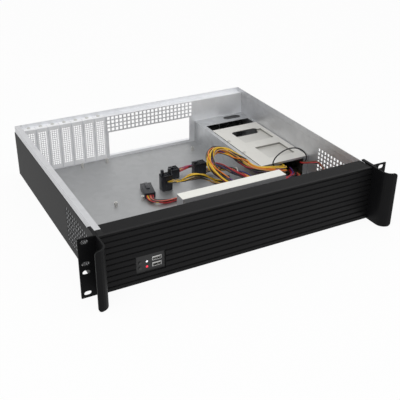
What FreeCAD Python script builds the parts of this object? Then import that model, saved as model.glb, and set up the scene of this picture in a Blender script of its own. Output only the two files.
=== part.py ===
import FreeCAD, Part
import math
import os
import Sketcher
from types import SimpleNamespace

# A two-unit, short-depth 19 inch rack case, open on top, with a one-unit power supply.
# X is across the case, Y runs from the handles to the rear, Z is up, all in millimetres.
# The origin is the middle of the case's footprint, on the surface that it stands on.

# ---------------------------------------------------------------- driving dimensions
SIZES = {
    # rack standard
    "panel_height": "88.1",
    "ear_width": "23.8",
    "rack_hole_inset": "8.75",
    "rack_hole_low": "6.35",
    "rack_hole_gap": "31.75",
    "rack_unit": "44.45",
    "rack_slot_length": "10.0",
    "rack_slot_width": "6.5",
    # case body
    "body_height": "86.5",
    "body_depth": "390",
    "metal": "1.0",
    "band_height": "10.5",
    "band_inset": "1.2",
    "left_flange": "8.5",
    "seam_gap": "0.1",
    "side_gap": "11.67",
    "slot_to_aperture": "15.1",
    "aperture_to_supply": "11.05",
    # side vents
    "vent_width": "4.8",
    "vent_front": "31.6",
    "vent_bottom": "13.3",
    "vent_pitch_along": "8",
    "vent_pitch_up": "7",
    "vent_columns": "13",
    "vent_rows": "8",
    # bezel and front frame
    "bezel_thick": "4",
    "groove_width": "2.2",
    "groove_depth": "1.6",
    "groove_low": "6.2",
    "groove_pitch": "8.55",
    "groove_count": "10",
    "frame_depth": "23",
    "window_inset": "49",
    "window_width": "42",
    "window_bottom": "13",
    "window_height": "27",
    # ears and handles
    "ear_thick": "2",
    "ear_front": "2",
    "ear_leg": "24",
    "handle_thick": "2.5",
    "handle_reach": "35",
    "handle_radius": "13.5",
    "handle_lip": "3.5",
    "handle_corner": "5",
    "ear_screw_back": "0.65",
    "ear_screw_low": "0.2",
    "ear_screw_high": "0.76",
    # rear panel
    "rear_recess": "15",
    "ledge_drop": "6",
    "io_width": "158.75",
    "io_bottom": "6",
    "io_height": "44.45",
    "field_width": "5",
    "field_inset": "1.2",
    "field_drop": "25",
    "field_pitch_across": "7.6",
    "field_pitch_up": "7",
    "field_columns": "22",
    "field_rows": "4",
    # expansion slots
    "slot_count": "7",
    "slot_pitch": "20.32",
    "slot_open_width": "14.9",
    "slot_open_bottom": "9",
    "slot_open_drop": "4.5",
    "cover_width": "18.42",
    "cover_bottom": "3",
    "cover_thick": "0.86",
    "cover_tab": "11.4",
    "cover_hole": "4.8",
    "cover_hole_pitch_across": "7.2",
    "cover_hole_pitch_up": "10",
    "cover_hole_columns": "2",
    "cover_hole_rows": "6",
    # screws
    "screw_radius": "1.5",
    "screw_head_radius": "3",
    "screw_head_height": "1.8",
    "screw_length": "5",
    "screw_gap": "0.2",
    "ear_screw_length": "9",
    "slot_screw_length": "4",
    "cover_screw_length": "4",
    "bridge_screw_length": "2.2",
    # control window
    "insert_recess": "2.5",
    "insert_thick": "3.5",
    "port_inset": "30.3",
    "port_width": "13.1",
    "port_height": "5.8",
    "port_setback": "0.2",
    "tongue_inset": "0.6",
    "tongue_setback": "1.2",
    "tongue_thick": "1.8",
    "port_up": "9.1",
    "port_rise": "9.2",
    "port_wall": "0.4",
    "button_inset": "6",
    "button_up": "8.3",
    "button_rise": "8",
    "button_radius": "2.1",
    "button_proud": "1",
    "button_travel": "1.2",
    "button_gap": "0.08",
    "collar_rim": "0.7",
    "collar_thick": "0.8",
    "collar_gap": "0.2",
    "switch_gap": "0.3",
    "lamp_inset": "16",
    "lamp_radius": "1.5",
    "board_inset": "1",
    "board_gap": "6",
    "board_thick": "1.6",
    "switch_size": "5",
    # power supply
    "psu_width": "100",
    "psu_height": "40.5",
    "psu_depth": "220",
    "psu_metal": "0.8",
    "psu_wall_gap": "0.3",
    "psu_lip": "6.5",
    "psu_cover_depth": "164",
    "cover_inset_left": "7.3",
    "cover_inset_right": "1.7",
    "cover_screw_inset": "9.5",
    "cover_screw_front": "57.5",
    "cover_screw_rear": "109",
    "cover_slot_front": "126.5",
    "cover_slot_inset": "16.7",
    "cover_slot_width": "52",
    "cover_slot_depth": "14.5",
    "well_depth": "4",
    "well_rear_front": "90",
    "well_rear_inset": "9",
    "well_rear_width": "60",
    "well_rear_length": "46",
    "well_front_front": "20",
    "well_front_inset": "12",
    "well_front_width": "52",
    "well_front_length": "48.5",
    "top_window_gap": "1",
    "top_window_inset_left": "8",
    "top_window_inset_right": "4",
    "top_window_depth": "24",
    "top_slot_back": "20.5",
    "top_slot_inset": "11",
    "top_slot_width": "34.5",
    "top_slot_depth": "14",
    "supply_open_side": "9",
    "supply_open_end": "3",
    "supply_screw_side": "5.5",
    "supply_screw_end": "7",
    "exit_inset": "43",
    "exit_edge": "9",
    "exit_up": "4",
    "exit_drop": "3.5",
    "inlet_inset": "12",
    "inlet_width": "28",
    "inlet_height": "20.5",
    "inlet_depth": "22",
    "inlet_wall": "2.2",
    "inlet_recess": "14",
    "inlet_proud": "1.2",
    "inlet_pin_length": "10",
    "fan_inset": "27",
    "fan_gap": "0.25",
    "fan_wall": "0.8",
    "fan_rim": "2.4",
    "fan_depth": "20",
    "fan_tip_gap": "0.7",
    "fan_hub": "9.5",
    "fan_blades": "7",
    "shaft_radius": "1.5",
    "shaft_gap": "0.05",
    "strut_depth": "3",
    "guard_wire": "1",
    "guard_hold": "1.0",
    "inside_gap": "3.3",
    # bridge bracket
    "bridge_overhang": "9.9",
    "bridge_length": "172.5",
    "bridge_front": "65",
    "bridge_width": "19",
    "bridge_height": "70",
    "bridge_metal": "1.2",
    "bridge_foot": "12",
    "bridge_apron": "7",
    # board standoffs
    "post_height": "6.5",
    "post_flats": "5",
    "post_inset": "147.1",
    "post_rear": "12.7",
    "post_across": "157.48",
    "post_across_more": "45.72",
    "post_along": "154.94",
    "post_along_more": "73.66",
    "post_shift": "22.86",
    "post_bore": "1.25",
}

doc = FreeCAD.newDocument("RackCase")
sheet = doc.addObject("Spreadsheet::Sheet", "Sizes")
for row, (alias, number) in enumerate(SIZES.items(), start=1):
    sheet.set(f"A{row}", alias)
    sheet.set(f"B{row}", number)
    sheet.setAlias(f"B{row}", alias)
doc.recompute()


class Size:
    """A length with the sheet formula that it is worked out by."""

    def __init__(self, value, formula=None):
        self.value = float(value)
        self.formula = formula if formula else repr(float(value))

    def _join(self, other, sign, value):
        other = size(other)
        return Size(value(self.value, other.value), f"({self.formula} {sign} {other.formula})")

    def __add__(self, other):
        return self._join(other, "+", lambda a, b: a + b)

    def __sub__(self, other):
        return self._join(other, "-", lambda a, b: a - b)

    def __mul__(self, other):
        return self._join(other, "*", lambda a, b: a * b)

    def __truediv__(self, other):
        return self._join(other, "/", lambda a, b: a / b)

    def __radd__(self, other):
        return size(other) + self

    def __rsub__(self, other):
        return size(other) - self

    def __rmul__(self, other):
        return size(other) * self

    def __neg__(self):
        return size(0) - self


def size(number):
    """A Size from a plain number, or the Size itself."""
    return number if isinstance(number, Size) else Size(number)


dim = SimpleNamespace(**{alias: Size(number, f"Sizes.{alias}") for alias, number in SIZES.items()})

# ---------------------------------------------------------------- places worked out once
slots_span = dim.slot_pitch * (dim.slot_count - 1)
board_side = dim.side_gap + dim.cover_width / 2 + slots_span + dim.slot_to_aperture + dim.io_width
supply_side = dim.aperture_to_supply + dim.psu_width + dim.psu_wall_gap
half_width = (board_side + supply_side) / 2 + dim.metal
face_y = (dim.handle_reach - dim.body_depth) / 2
bezel_back_y = face_y + dim.bezel_thick
rear_edge_y = face_y + dim.body_depth
rear_wall_y = rear_edge_y - dim.rear_recess
inner_x = half_width - dim.metal
frame_half = inner_x - dim.seam_gap
band_bottom = dim.body_height - dim.band_height
ledge_height = dim.body_height - dim.ledge_drop
slot_first = dim.side_gap + dim.cover_width / 2 + slots_span - inner_x
io_left = slot_first + dim.slot_to_aperture
slot_open_height = ledge_height - dim.slot_open_drop - dim.slot_open_bottom
window_left = dim.window_inset - half_width
port_x = window_left + dim.port_inset
button_x = window_left + dim.button_inset
lamp_x = window_left + dim.lamp_inset


# ---------------------------------------------------------------- building helpers
def bind(target, name, length):
    """Tie one property of an object to its formula in the sheet."""
    target.setExpression(name, size(length).formula)


def at(target, corner):
    """Place an object at a point given as three lengths."""
    for axis, length in zip("xyz", corner):
        bind(target, f".Placement.Base.{axis}", length)
    return target


def box(name, corner, extent):
    """A block from its low corner."""
    block = doc.addObject("Part::Box", name)
    for side, length in zip(("Length", "Width", "Height"), extent):
        bind(block, side, length)
    return at(block, corner)


# sides of the prisms that stand for round forms too small to show their facets
RING_SIDES = 16
BUTTON_SIDES = 12
HEAD_SIDES = 8
SHANK_SIDES = 6

TURNS = {
    "X": FreeCAD.Rotation(FreeCAD.Vector(0, 1, 0), 90),
    "Y": FreeCAD.Rotation(FreeCAD.Vector(1, 0, 0), -90),
    "Z": FreeCAD.Rotation(),
}


def cylinder(name, axis, start, radius, length):
    """A round bar from the centre of its low end, along X, Y or Z."""
    bar = doc.addObject("Part::Cylinder", name)
    bar.Placement = FreeCAD.Placement(FreeCAD.Vector(), TURNS[axis])
    bind(bar, "Radius", radius)
    bind(bar, "Height", length)
    return at(bar, start)


def prism(name, axis, start, flats, length, sides=6):
    """A bar with flat sides, measured over its flats, from the centre of its low end."""
    bar = doc.addObject("Part::Prism", name)
    bar.Placement = FreeCAD.Placement(FreeCAD.Vector(), TURNS[axis])
    bar.Polygon = sides
    bind(bar, "Circumradius", flats / (2 * math.cos(math.pi / sides)))
    bind(bar, "Height", length)
    return at(bar, start)


def fuse(name, pieces):
    joined = doc.addObject("Part::MultiFuse", name)
    joined.Shapes = pieces
    return joined


def group(name, pieces):
    """Separate solids kept in one node."""
    bundle = doc.addObject("Part::Compound", name)
    bundle.Links = pieces
    return bundle


def cut(name, base, tools):
    result = doc.addObject("Part::Cut", name)
    result.Base = base
    result.Tool = tools[0] if len(tools) == 1 else fuse(f"{name}_tools", tools)
    return result


PLANES = {"X": ("YZ_Plane", 1), "Y": ("XZ_Plane", -1), "Z": ("XY_Plane", 1)}


def outline(body, name, axis, level, points):
    """A closed outline square to an axis at a level, every corner tied to the sheet."""
    role, sense = PLANES[axis]
    sketch = body.newObject("Sketcher::SketchObject", name)
    plane = [item for item in body.Origin.OriginFeatures if item.Role == role][0]
    sketch.AttachmentSupport = [(plane, "")]
    sketch.MapMode = "FlatFace"
    bind(sketch, ".AttachmentOffset.Base.z", level * sense)
    corners = [FreeCAD.Vector(across.value, up.value, 0) for across, up in points]
    for start, end in zip(corners, corners[1:] + corners[:1]):
        sketch.addGeometry(Part.LineSegment(start, end), False)
    for index, corner in enumerate(points):
        following = (index + 1) % len(points)
        sketch.addConstraint(Sketcher.Constraint("Coincident", index, 2, following, 1))
        for kind, length in zip(("DistanceX", "DistanceY"), corner):
            row = sketch.addConstraint(Sketcher.Constraint(kind, -1, 1, index, 1, length.value))
            bind(sketch, f"Constraints[{row}]", length)
    return sketch


def pad(body, name, axis, points, low, high):
    """Material between two levels along an axis."""
    sense = PLANES[axis][1]
    sketch = outline(body, f"{name}_outline", axis, low if sense > 0 else high, points)
    feature = body.newObject("PartDesign::Pad", name)
    feature.Profile = sketch
    bind(feature, "Length", high - low)
    sketch.Visibility = False
    return feature


def pocket(body, name, axis, points, low, high):
    """A cut between two levels along an axis."""
    sense = PLANES[axis][1]
    sketch = outline(body, f"{name}_outline", axis, high if sense > 0 else low, points)
    feature = body.newObject("PartDesign::Pocket", name)
    feature.Profile = sketch
    bind(feature, "Length", high - low)
    sketch.Visibility = False
    return feature


def repeat(body, feature, across=None, up=None):
    """Copies of a cut in rows and columns; each direction is its pitch and its count."""
    pattern = body.newObject("PartDesign::LinearPattern", f"{feature.Name}_grid")
    pattern.Originals = [feature]
    sketch = feature.Profile[0]
    first, second = (across, up) if across else (up, None)
    pattern.Direction = (sketch, ["H_Axis" if across else "V_Axis"])
    bind(pattern, "Length", first[0] * (first[1] - 1))
    bind(pattern, "Occurrences", first[1])
    if second:
        pattern.Direction2 = (sketch, ["V_Axis"])
        bind(pattern, "Length2", second[0] * (second[1] - 1))
        bind(pattern, "Occurrences2", second[1])
    body.Tip = pattern
    return pattern


def rectangle(left, bottom, width, height):
    left, bottom, width, height = [size(length) for length in (left, bottom, width, height)]
    right = left + width
    top = bottom + height
    return [(left, bottom), (right, bottom), (right, top), (left, top)]


def polygon(across, up, flats, sides):
    """A regular outline with a flat side at its right, measured over its flats."""
    radius = flats / (2 * math.cos(math.pi / sides))
    angles = [(2 * corner + 1) * math.pi / sides for corner in range(sides)]
    return [(across + radius * math.cos(angle), up + radius * math.sin(angle)) for angle in angles]


def new_body(name):
    return doc.addObject("PartDesign::Body", name)


nodes = []


def node(label, shape):
    """Name a finished piece; the name is also its file's name."""
    shape.Label = label
    nodes.append(shape)
    return shape


def copies(centre, step, count):
    """Places in a row, from the first one on."""
    return [centre + step * number for number in range(count)]


def screws(label, axis, sense, places, length=None):
    """Pan-head screws whose heads sit on a face and whose shanks run along the axis.

    sense is the way that a shank points: 1 towards the axis's high end, -1 towards its low end.
    """
    length = size(length) if length else dim.screw_length
    pieces = []
    for number, place in enumerate(places):
        index = "XYZ".index(axis)
        head = [size(length_part) for length_part in place]
        shank = list(head)
        head[index] = head[index] - (dim.screw_head_height if sense > 0 else 0)
        shank[index] = shank[index] - (0 if sense > 0 else length)
        name = f"{label}_{number}"
        head_width = dim.screw_head_radius * 2
        dome = prism(f"{name}_head", axis, head, head_width, dim.screw_head_height, HEAD_SIDES)
        stem = prism(f"{name}_shank", axis, shank, dim.screw_radius * 2, length, SHANK_SIDES)
        pieces.append(fuse(name, [dome, stem]))
    return node(label, group(f"{label}_set", pieces))


def clearance_holes(name, axis, places, reach):
    """Cutters for screws, reaching both ways from each seat."""
    index = "XYZ".index(axis)
    tools = []
    for number, place in enumerate(places):
        start = [size(part) for part in place]
        start[index] = start[index] - reach
        width = (dim.screw_radius + dim.screw_gap) * 2
        tools.append(prism(f"{name}_{number}", axis, start, width, reach * 2, SHANK_SIDES))
    return tools


# ---------------------------------------------------------------- folded tray
def build_tray():
    """Floor and sides folded from one sheet, with a stepped-in band along both top edges."""
    bend = dim.metal * (math.sqrt(2) - 1)
    band_x = half_width - dim.band_inset
    step_top = band_bottom + dim.band_inset
    top = dim.body_height
    right = [
        (half_width, size(0)),
        (half_width, band_bottom),
        (band_x, step_top),
        (band_x, top),
        (band_x - dim.metal, top),
        (band_x - dim.metal, step_top - bend),
        (inner_x, band_bottom - bend),
        (inner_x, dim.metal),
    ]
    left = [
        (-inner_x, dim.metal),
        (-inner_x, band_bottom - bend),
        (dim.metal - band_x, step_top - bend),
        (dim.metal - band_x, top - dim.metal),
        (dim.left_flange - band_x, top - dim.metal),
        (dim.left_flange - band_x, top),
        (-band_x, top),
        (-band_x, step_top),
        (-half_width, band_bottom),
        (-half_width, size(0)),
    ]
    body = new_body("tray_body")
    pad(body, "tray_fold", "Y", right + left, bezel_back_y, rear_edge_y)
    first = polygon(face_y + dim.vent_front, dim.vent_bottom, dim.vent_width, 4)
    vent = pocket(body, "side_vent", "X", first, -half_width, half_width)
    across = (dim.vent_pitch_along, dim.vent_columns)
    repeat(body, vent, across, (dim.vent_pitch_up, dim.vent_rows))
    tools = clearance_holes("tray_ear_hole", "X", ear_screw_places(), dim.metal * 6)
    tools += clearance_holes("tray_bridge_hole", "Z", bridge_screw_places(), dim.metal * 3)
    node("chassis_tray", cut("chassis_tray", body, tools))


def ear_screw_places(side=0):
    """Seats of the screws that hold ears and handles to the sides; side 0 is both sides."""
    seat_x = half_width + dim.handle_thick + dim.ear_thick
    seat_y = face_y + dim.ear_front + dim.ear_leg * dim.ear_screw_back
    rows = [dim.panel_height * dim.ear_screw_low, dim.panel_height * dim.ear_screw_high]
    signs = [side] if side else [-1, 1]
    return [(seat_x * sign, seat_y, height) for sign in signs for height in rows]


# ---------------------------------------------------------------- rear panel and slot covers
def build_rear_panel():
    """A shallow pan open to the rear, with a ledge that the slot covers screw to."""
    body = new_body("rear_body")
    bottom = dim.metal
    band_half = frame_half - dim.band_inset
    step = band_bottom - dim.metal
    block = [
        (-frame_half, bottom),
        (frame_half, bottom),
        (frame_half, step),
        (band_half, step),
        (band_half, ledge_height),
        (-band_half, ledge_height),
        (-band_half, step),
        (-frame_half, step),
    ]
    pad(body, "rear_block", "Y", block, rear_wall_y, rear_edge_y)
    hollow = rectangle(
        dim.metal - band_half,
        bottom + dim.metal,
        (band_half - dim.metal) * 2,
        ledge_height - bottom - dim.metal * 2,
    )
    pocket(body, "rear_hollow", "Y", hollow, rear_wall_y + dim.metal, rear_edge_y)
    lip_left = dim.left_flange + dim.band_inset + dim.seam_gap - half_width
    lip = rectangle(
        lip_left,
        ledge_height - dim.metal,
        band_half - lip_left,
        dim.body_height - ledge_height + dim.metal,
    )
    pad(body, "rear_lip", "Y", lip, rear_edge_y - dim.metal, rear_edge_y)
    wall_end = rear_wall_y + dim.metal
    aperture = rectangle(io_left, dim.io_bottom, dim.io_width, dim.io_height)
    pocket(body, "board_aperture", "Y", aperture, rear_wall_y, wall_end)
    pocket(body, "supply_aperture", "Y", supply_aperture(), rear_wall_y, wall_end)
    first_slot = rectangle(
        slot_first - dim.slot_open_width / 2,
        dim.slot_open_bottom,
        dim.slot_open_width,
        slot_open_height,
    )
    slot = pocket(body, "slot_opening", "Y", first_slot, rear_wall_y, wall_end)
    slots = repeat(body, slot, (-dim.slot_pitch, dim.slot_count))
    bind(slots, "Length", dim.slot_pitch * (dim.slot_count - 1))
    slots.Reversed = True
    first_vent = polygon(io_left + dim.field_inset, ledge_height - dim.field_drop, dim.field_width, 4)
    vent = pocket(body, "field_vent", "Y", first_vent, rear_wall_y, wall_end)
    across = (dim.field_pitch_across, dim.field_columns)
    repeat(body, vent, across, (dim.field_pitch_up, dim.field_rows))
    tools = clearance_holes("rear_slot_hole", "Z", slot_screw_places(), dim.metal * 3)
    tools += clearance_holes("rear_supply_hole", "Y", supply_screw_places(), dim.metal * 2)
    node("rear_panel", cut("rear_panel", body, tools))


def slot_screw_places():
    """Seats of the slot-cover screws, on the covers' tabs."""
    seat_y = rear_wall_y + dim.rear_recess / 2
    seat_z = ledge_height + dim.cover_thick
    centres = copies(slot_first, -dim.slot_pitch, int(dim.slot_count.value))
    return [(centre, seat_y, seat_z) for centre in centres]


def build_slot_covers():
    """Seven L-shaped blanking plates, each with a perforated face and a screwed tab."""
    places = slot_screw_places()
    for number, (centre, _, _) in enumerate(places, start=1):
        body = new_body(f"cover_{number}_body")
        front_y = rear_wall_y - dim.cover_thick
        left = centre - dim.cover_width / 2
        top = ledge_height + dim.cover_thick
        face = rectangle(left, dim.cover_bottom, dim.cover_width, top - dim.cover_bottom)
        pad(body, f"cover_{number}_face", "Y", face, front_y, rear_wall_y)
        tab = rectangle(left, rear_wall_y - dim.cover_thick, dim.cover_width, dim.cover_tab)
        pad(body, f"cover_{number}_tab", "Z", tab, ledge_height, top)
        columns_span = dim.cover_hole_pitch_across * (dim.cover_hole_columns - 1)
        rows_span = dim.cover_hole_pitch_up * (dim.cover_hole_rows - 1)
        middle = dim.slot_open_bottom + slot_open_height / 2
        first = polygon(centre - columns_span / 2, middle - rows_span / 2, dim.cover_hole, 4)
        hole = pocket(body, f"cover_{number}_hole", "Y", first, front_y, rear_wall_y)
        across = (dim.cover_hole_pitch_across, dim.cover_hole_columns)
        repeat(body, hole, across, (dim.cover_hole_pitch_up, dim.cover_hole_rows))
        reach = dim.cover_thick * 2
        tools = clearance_holes(f"cover_{number}_bore", "Z", [places[number - 1]], reach)
        node(f"slot_cover_{number}", cut(f"slot_cover_{number}", body, tools))
    screws("slot_screws", "Z", -1, places, dim.slot_screw_length)


# ---------------------------------------------------------------- front frame, bezel and controls
def build_front_frame():
    """A folded steel pan behind the bezel, open to the rear, with a window for the controls."""
    body = new_body("frame_body")
    bottom = dim.metal
    top = dim.body_height
    band_half = frame_half - dim.band_inset
    depth_end = bezel_back_y + dim.frame_depth
    left_top = dim.left_flange - half_width + dim.band_inset + dim.seam_gap
    step = band_bottom - dim.metal
    face = [
        (-frame_half, bottom),
        (frame_half, bottom),
        (frame_half, step),
        (band_half, step),
        (band_half, top),
        (left_top, top),
        (left_top, top - dim.metal - dim.seam_gap),
        (-band_half, top - dim.metal - dim.seam_gap),
        (-band_half, step),
        (-frame_half, step),
    ]
    pad(body, "frame_block", "Y", face, bezel_back_y, depth_end)
    hollow = rectangle(
        dim.metal - band_half,
        bottom + dim.metal,
        (band_half - dim.metal) * 2,
        top - bottom - dim.metal * 2 - dim.metal - dim.seam_gap,
    )
    pocket(body, "frame_hollow", "Y", hollow, bezel_back_y + dim.metal, depth_end)
    wall_end = bezel_back_y + dim.metal
    pocket(body, "frame_window", "Y", window_outline(dim.seam_gap), bezel_back_y, wall_end)
    tools = clearance_holes("frame_ear_hole", "X", ear_screw_places(), dim.ear_screw_length)
    node("front_frame", cut("front_frame", body, tools))


def window_outline(growth=0):
    """The control window in the bezel, grown evenly where a piece needs more room."""
    return rectangle(
        window_left - growth,
        dim.window_bottom - growth,
        dim.window_width + 2 * size(growth),
        dim.window_height + 2 * size(growth),
    )


def build_bezel():
    """The thick front plate: level grooves cut along its whole width, and a control window."""
    body = new_body("bezel_body")
    face = rectangle(-half_width, 0, half_width * 2, dim.body_height)
    pad(body, "bezel_plate", "Y", face, face_y, bezel_back_y)
    half_groove = dim.groove_width / 2
    low = dim.groove_low
    first = [
        (face_y - 1, low - half_groove - 1),
        (face_y + dim.groove_depth, low - half_groove / 2),
        (face_y + dim.groove_depth, low + half_groove / 2),
        (face_y - 1, low + half_groove + 1),
    ]
    groove = pocket(body, "bezel_groove", "X", first, -half_width, half_width)
    repeat(body, groove, up=(dim.groove_pitch, dim.groove_count))
    pocket(body, "bezel_window", "Y", window_outline(), face_y, bezel_back_y)
    node("front_bezel", body)


def port_places():
    """Centres of the two stacked ports."""
    low = dim.window_bottom + dim.port_up
    return [(port_x, low), (port_x, low + dim.port_rise)]


def button_places():
    low = dim.window_bottom + dim.button_up
    return [(button_x, low), (button_x, low + dim.button_rise)]


def build_controls():
    """The moulded insert in the window, its ports, lamps and buttons, and the board behind."""
    insert_y = face_y + dim.insert_recess
    insert_end = insert_y + dim.insert_thick
    gap = dim.seam_gap
    outer = window_outline(-gap)
    plate = box(
        "insert_plate",
        (outer[0][0], insert_y, outer[0][1]),
        (dim.window_width - 2 * gap, dim.insert_thick, dim.window_height - 2 * gap),
    )
    tools = []
    for number, (across, up) in enumerate(port_places()):
        corner = (across - dim.port_width / 2 - gap, insert_y, up - dim.port_height / 2 - gap)
        extent = (dim.port_width + 2 * gap, dim.insert_thick, dim.port_height + 2 * gap)
        tools.append(box(f"port_hole_{number}", corner, extent))
    for number, (across, up) in enumerate(button_places()):
        bore = (dim.button_radius + dim.button_gap) * 2
        start = (across, insert_y, up)
        depth = dim.insert_thick
        tools.append(prism(f"button_hole_{number}", "Y", start, bore, depth, BUTTON_SIDES))
        start = (lamp_x, insert_y, up)
        bore = (dim.lamp_radius + gap) * 2
        tools.append(prism(f"lamp_hole_{number}", "Y", start, bore, depth, HEAD_SIDES))
    node("control_insert", cut("control_insert", plate, tools))

    board_y = insert_end + dim.board_gap
    shells = []
    tongues = []
    for number, (across, up) in enumerate(port_places()):
        front = insert_y + dim.port_setback
        corner = (across - dim.port_width / 2, front, up - dim.port_height / 2)
        length = board_y - front
        outside = box(f"port_shell_{number}", corner, (dim.port_width, length, dim.port_height))
        wall = dim.port_wall
        inside_corner = (corner[0] + wall, corner[1], corner[2] + wall)
        width = dim.port_width - 2 * wall
        height = dim.port_height - 2 * wall
        inside = box(f"port_cavity_{number}", inside_corner, (width, length - wall, height))
        shells.append(cut(f"port_{number}", outside, [inside]))
        inset = dim.tongue_inset
        tongue_front = insert_y + dim.tongue_setback
        tongue_corner = (across - width / 2 + inset, tongue_front, up + dim.port_setback)
        tongue = (width - inset * 2, board_y - wall - tongue_front, dim.tongue_thick)
        tongues.append(box(f"port_tongue_{number}", tongue_corner, tongue))
    node("port_shells", group("port_shells_set", shells))
    node("port_tongues", group("port_tongues_set", tongues))

    inset = dim.board_inset
    board = box(
        "board_plate",
        (window_left + inset, board_y, dim.window_bottom + inset),
        (dim.window_width - inset * 2, dim.board_thick, dim.window_height - inset * 2),
    )
    node("control_board", board)

    switches = []
    names = ("reset_button", "power_button")
    for name, (across, up) in zip(names, button_places()):
        tip = prism(
            f"{name}_tip",
            "Y",
            (across, insert_y - dim.button_proud, up),
            dim.button_radius * 2,
            dim.insert_thick + dim.button_proud + dim.collar_gap * 2,
            BUTTON_SIDES,
        )
        seat = (across, insert_end + dim.collar_gap, up)
        width = (dim.button_radius + dim.collar_rim) * 2
        collar = prism(f"{name}_collar", "Y", seat, width, dim.collar_thick, BUTTON_SIDES)
        node(name, fuse(f"{name}_shape", [tip, collar]))
        switch_y = seat[1] + dim.collar_thick + dim.button_travel + dim.switch_gap
        half = dim.switch_size / 2
        corner = (across - half, switch_y, up - half)
        extent = (dim.switch_size, board_y - switch_y, dim.switch_size)
        switches.append(box(f"{name}_switch", corner, extent))
    node("button_switches", group("button_switches_set", switches))
    for name, (_, up) in zip(("drive_lamp", "power_lamp"), button_places()):
        start = (lamp_x, insert_y + dim.port_setback, up)
        length = board_y - start[1]
        lens = prism(f"{name}_lens", "Y", start, dim.lamp_radius * 2, length, HEAD_SIDES)
        node(name, lens)


# ---------------------------------------------------------------- rack ears and handles
def mirrored(points, sign):
    """An outline on one side of the case: kept on the right, mirrored on the left."""
    return [(across * sign, up) for across, up in points]


def build_ears():
    """A steel angle each side: its face takes the rack's screws, its leg lies on the handle."""
    for side, sign in (("left", -1), ("right", 1)):
        root_x = half_width + dim.handle_thick
        tip_x = root_x + dim.ear_width
        front = face_y + dim.ear_front
        back = front + dim.ear_thick
        profile = [
            (root_x, front),
            (tip_x, front),
            (tip_x, back),
            (root_x + dim.ear_thick, back),
            (root_x + dim.ear_thick, front + dim.ear_leg),
            (root_x, front + dim.ear_leg),
        ]
        body = new_body(f"ear_{side}_body")
        pad(body, f"ear_{side}_angle", "Z", mirrored(profile, sign), size(0), dim.panel_height)
        tools = clearance_holes(f"ear_{side}_hole", "X", ear_screw_places(sign), dim.ear_thick * 2)
        for number, up in enumerate(rack_hole_heights()):
            across = (tip_x - dim.rack_hole_inset) * sign
            tools += rack_slot(f"ear_{side}_slot_{number}", across, up)
        node(f"rack_ear_{side}", cut(f"rack_ear_{side}", body, tools))


def rack_hole_heights():
    """Four holes: the outer two of each rack unit, as far from the panel's edges at both ends."""
    low = dim.rack_hole_low
    return [
        low,
        low + dim.rack_hole_gap,
        low + dim.rack_unit,
        low + dim.rack_unit + dim.rack_hole_gap,
    ]


def rack_slot(name, across, up):
    """Cutters for one level slot with round ends through an ear."""
    front = face_y + dim.ear_front
    radius = dim.rack_slot_width / 2
    reach = dim.rack_slot_length / 2 - radius
    middle = box(
        f"{name}_middle",
        (across - reach, front, up - radius),
        (reach * 2, dim.ear_thick, dim.rack_slot_width),
    )
    ends = [
        cylinder(f"{name}_end_{number}", "Y", (across + shift, front, up), radius, dim.ear_thick)
        for number, shift in enumerate((-reach, reach))
    ]
    return [middle] + ends


ARC_STEPS = 6


def build_handles():
    """A strip each side that runs forward from the case and rolls outward into a grip."""
    for side, sign in (("left", -1), ("right", 1)):
        outer = dim.handle_radius
        inner = outer - dim.handle_thick
        web_x = half_width
        centre_x = web_x + outer
        centre_y = face_y - dim.handle_reach + outer
        angles = [math.pi + math.pi / 2 * step / ARC_STEPS for step in range(ARC_STEPS + 1)]
        outer_arc = [
            (centre_x + outer * math.cos(angle), centre_y + outer * math.sin(angle))
            for angle in angles
        ]
        inner_arc = [
            (centre_x + inner * math.cos(angle), centre_y + inner * math.sin(angle))
            for angle in reversed(angles)
        ]
        back_y = face_y + dim.ear_front + dim.ear_leg
        lip_x = centre_x + dim.handle_lip
        profile = [(web_x, back_y)] + outer_arc
        profile += [(lip_x, centre_y - outer), (lip_x, centre_y - inner)] + inner_arc
        profile += [(web_x + dim.handle_thick, back_y)]
        body = new_body(f"handle_{side}_body")
        pad(body, f"handle_{side}_strip", "Z", mirrored(profile, sign), size(0), dim.panel_height)
        holes = clearance_holes(f"handle_{side}_hole", "X", ear_screw_places(sign), 8)
        tools = holes + handle_corner_cutters(side, sign, lip_x, centre_y - outer)
        node(f"handle_{side}", cut(f"handle_{side}", body, tools))
    screws("ear_screws_left", "X", 1, ear_screw_places(-1), dim.ear_screw_length)
    screws("ear_screws_right", "X", -1, ear_screw_places(1), dim.ear_screw_length)


def handle_corner_cutters(side, sign, lip_x, front_y):
    """Cutters that round the grip's two free corners."""
    radius = dim.handle_corner
    tools = []
    for end, height in (("low", size(0)), ("high", dim.panel_height)):
        inward = 1 if end == "low" else -1
        corner_low = height if end == "low" else height - radius
        block_x = lip_x * sign - (radius if sign > 0 else 0)
        block = box(
            f"grip_{side}_{end}_block",
            (block_x, front_y, corner_low),
            (radius, dim.handle_thick, radius),
        )
        centre = ((lip_x - radius) * sign, front_y, height + radius * inward)
        disc = cylinder(f"grip_{side}_{end}_disc", "Y", centre, radius, dim.handle_thick)
        tools.append(cut(f"grip_{side}_{end}", block, [disc]))
    return tools


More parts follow.
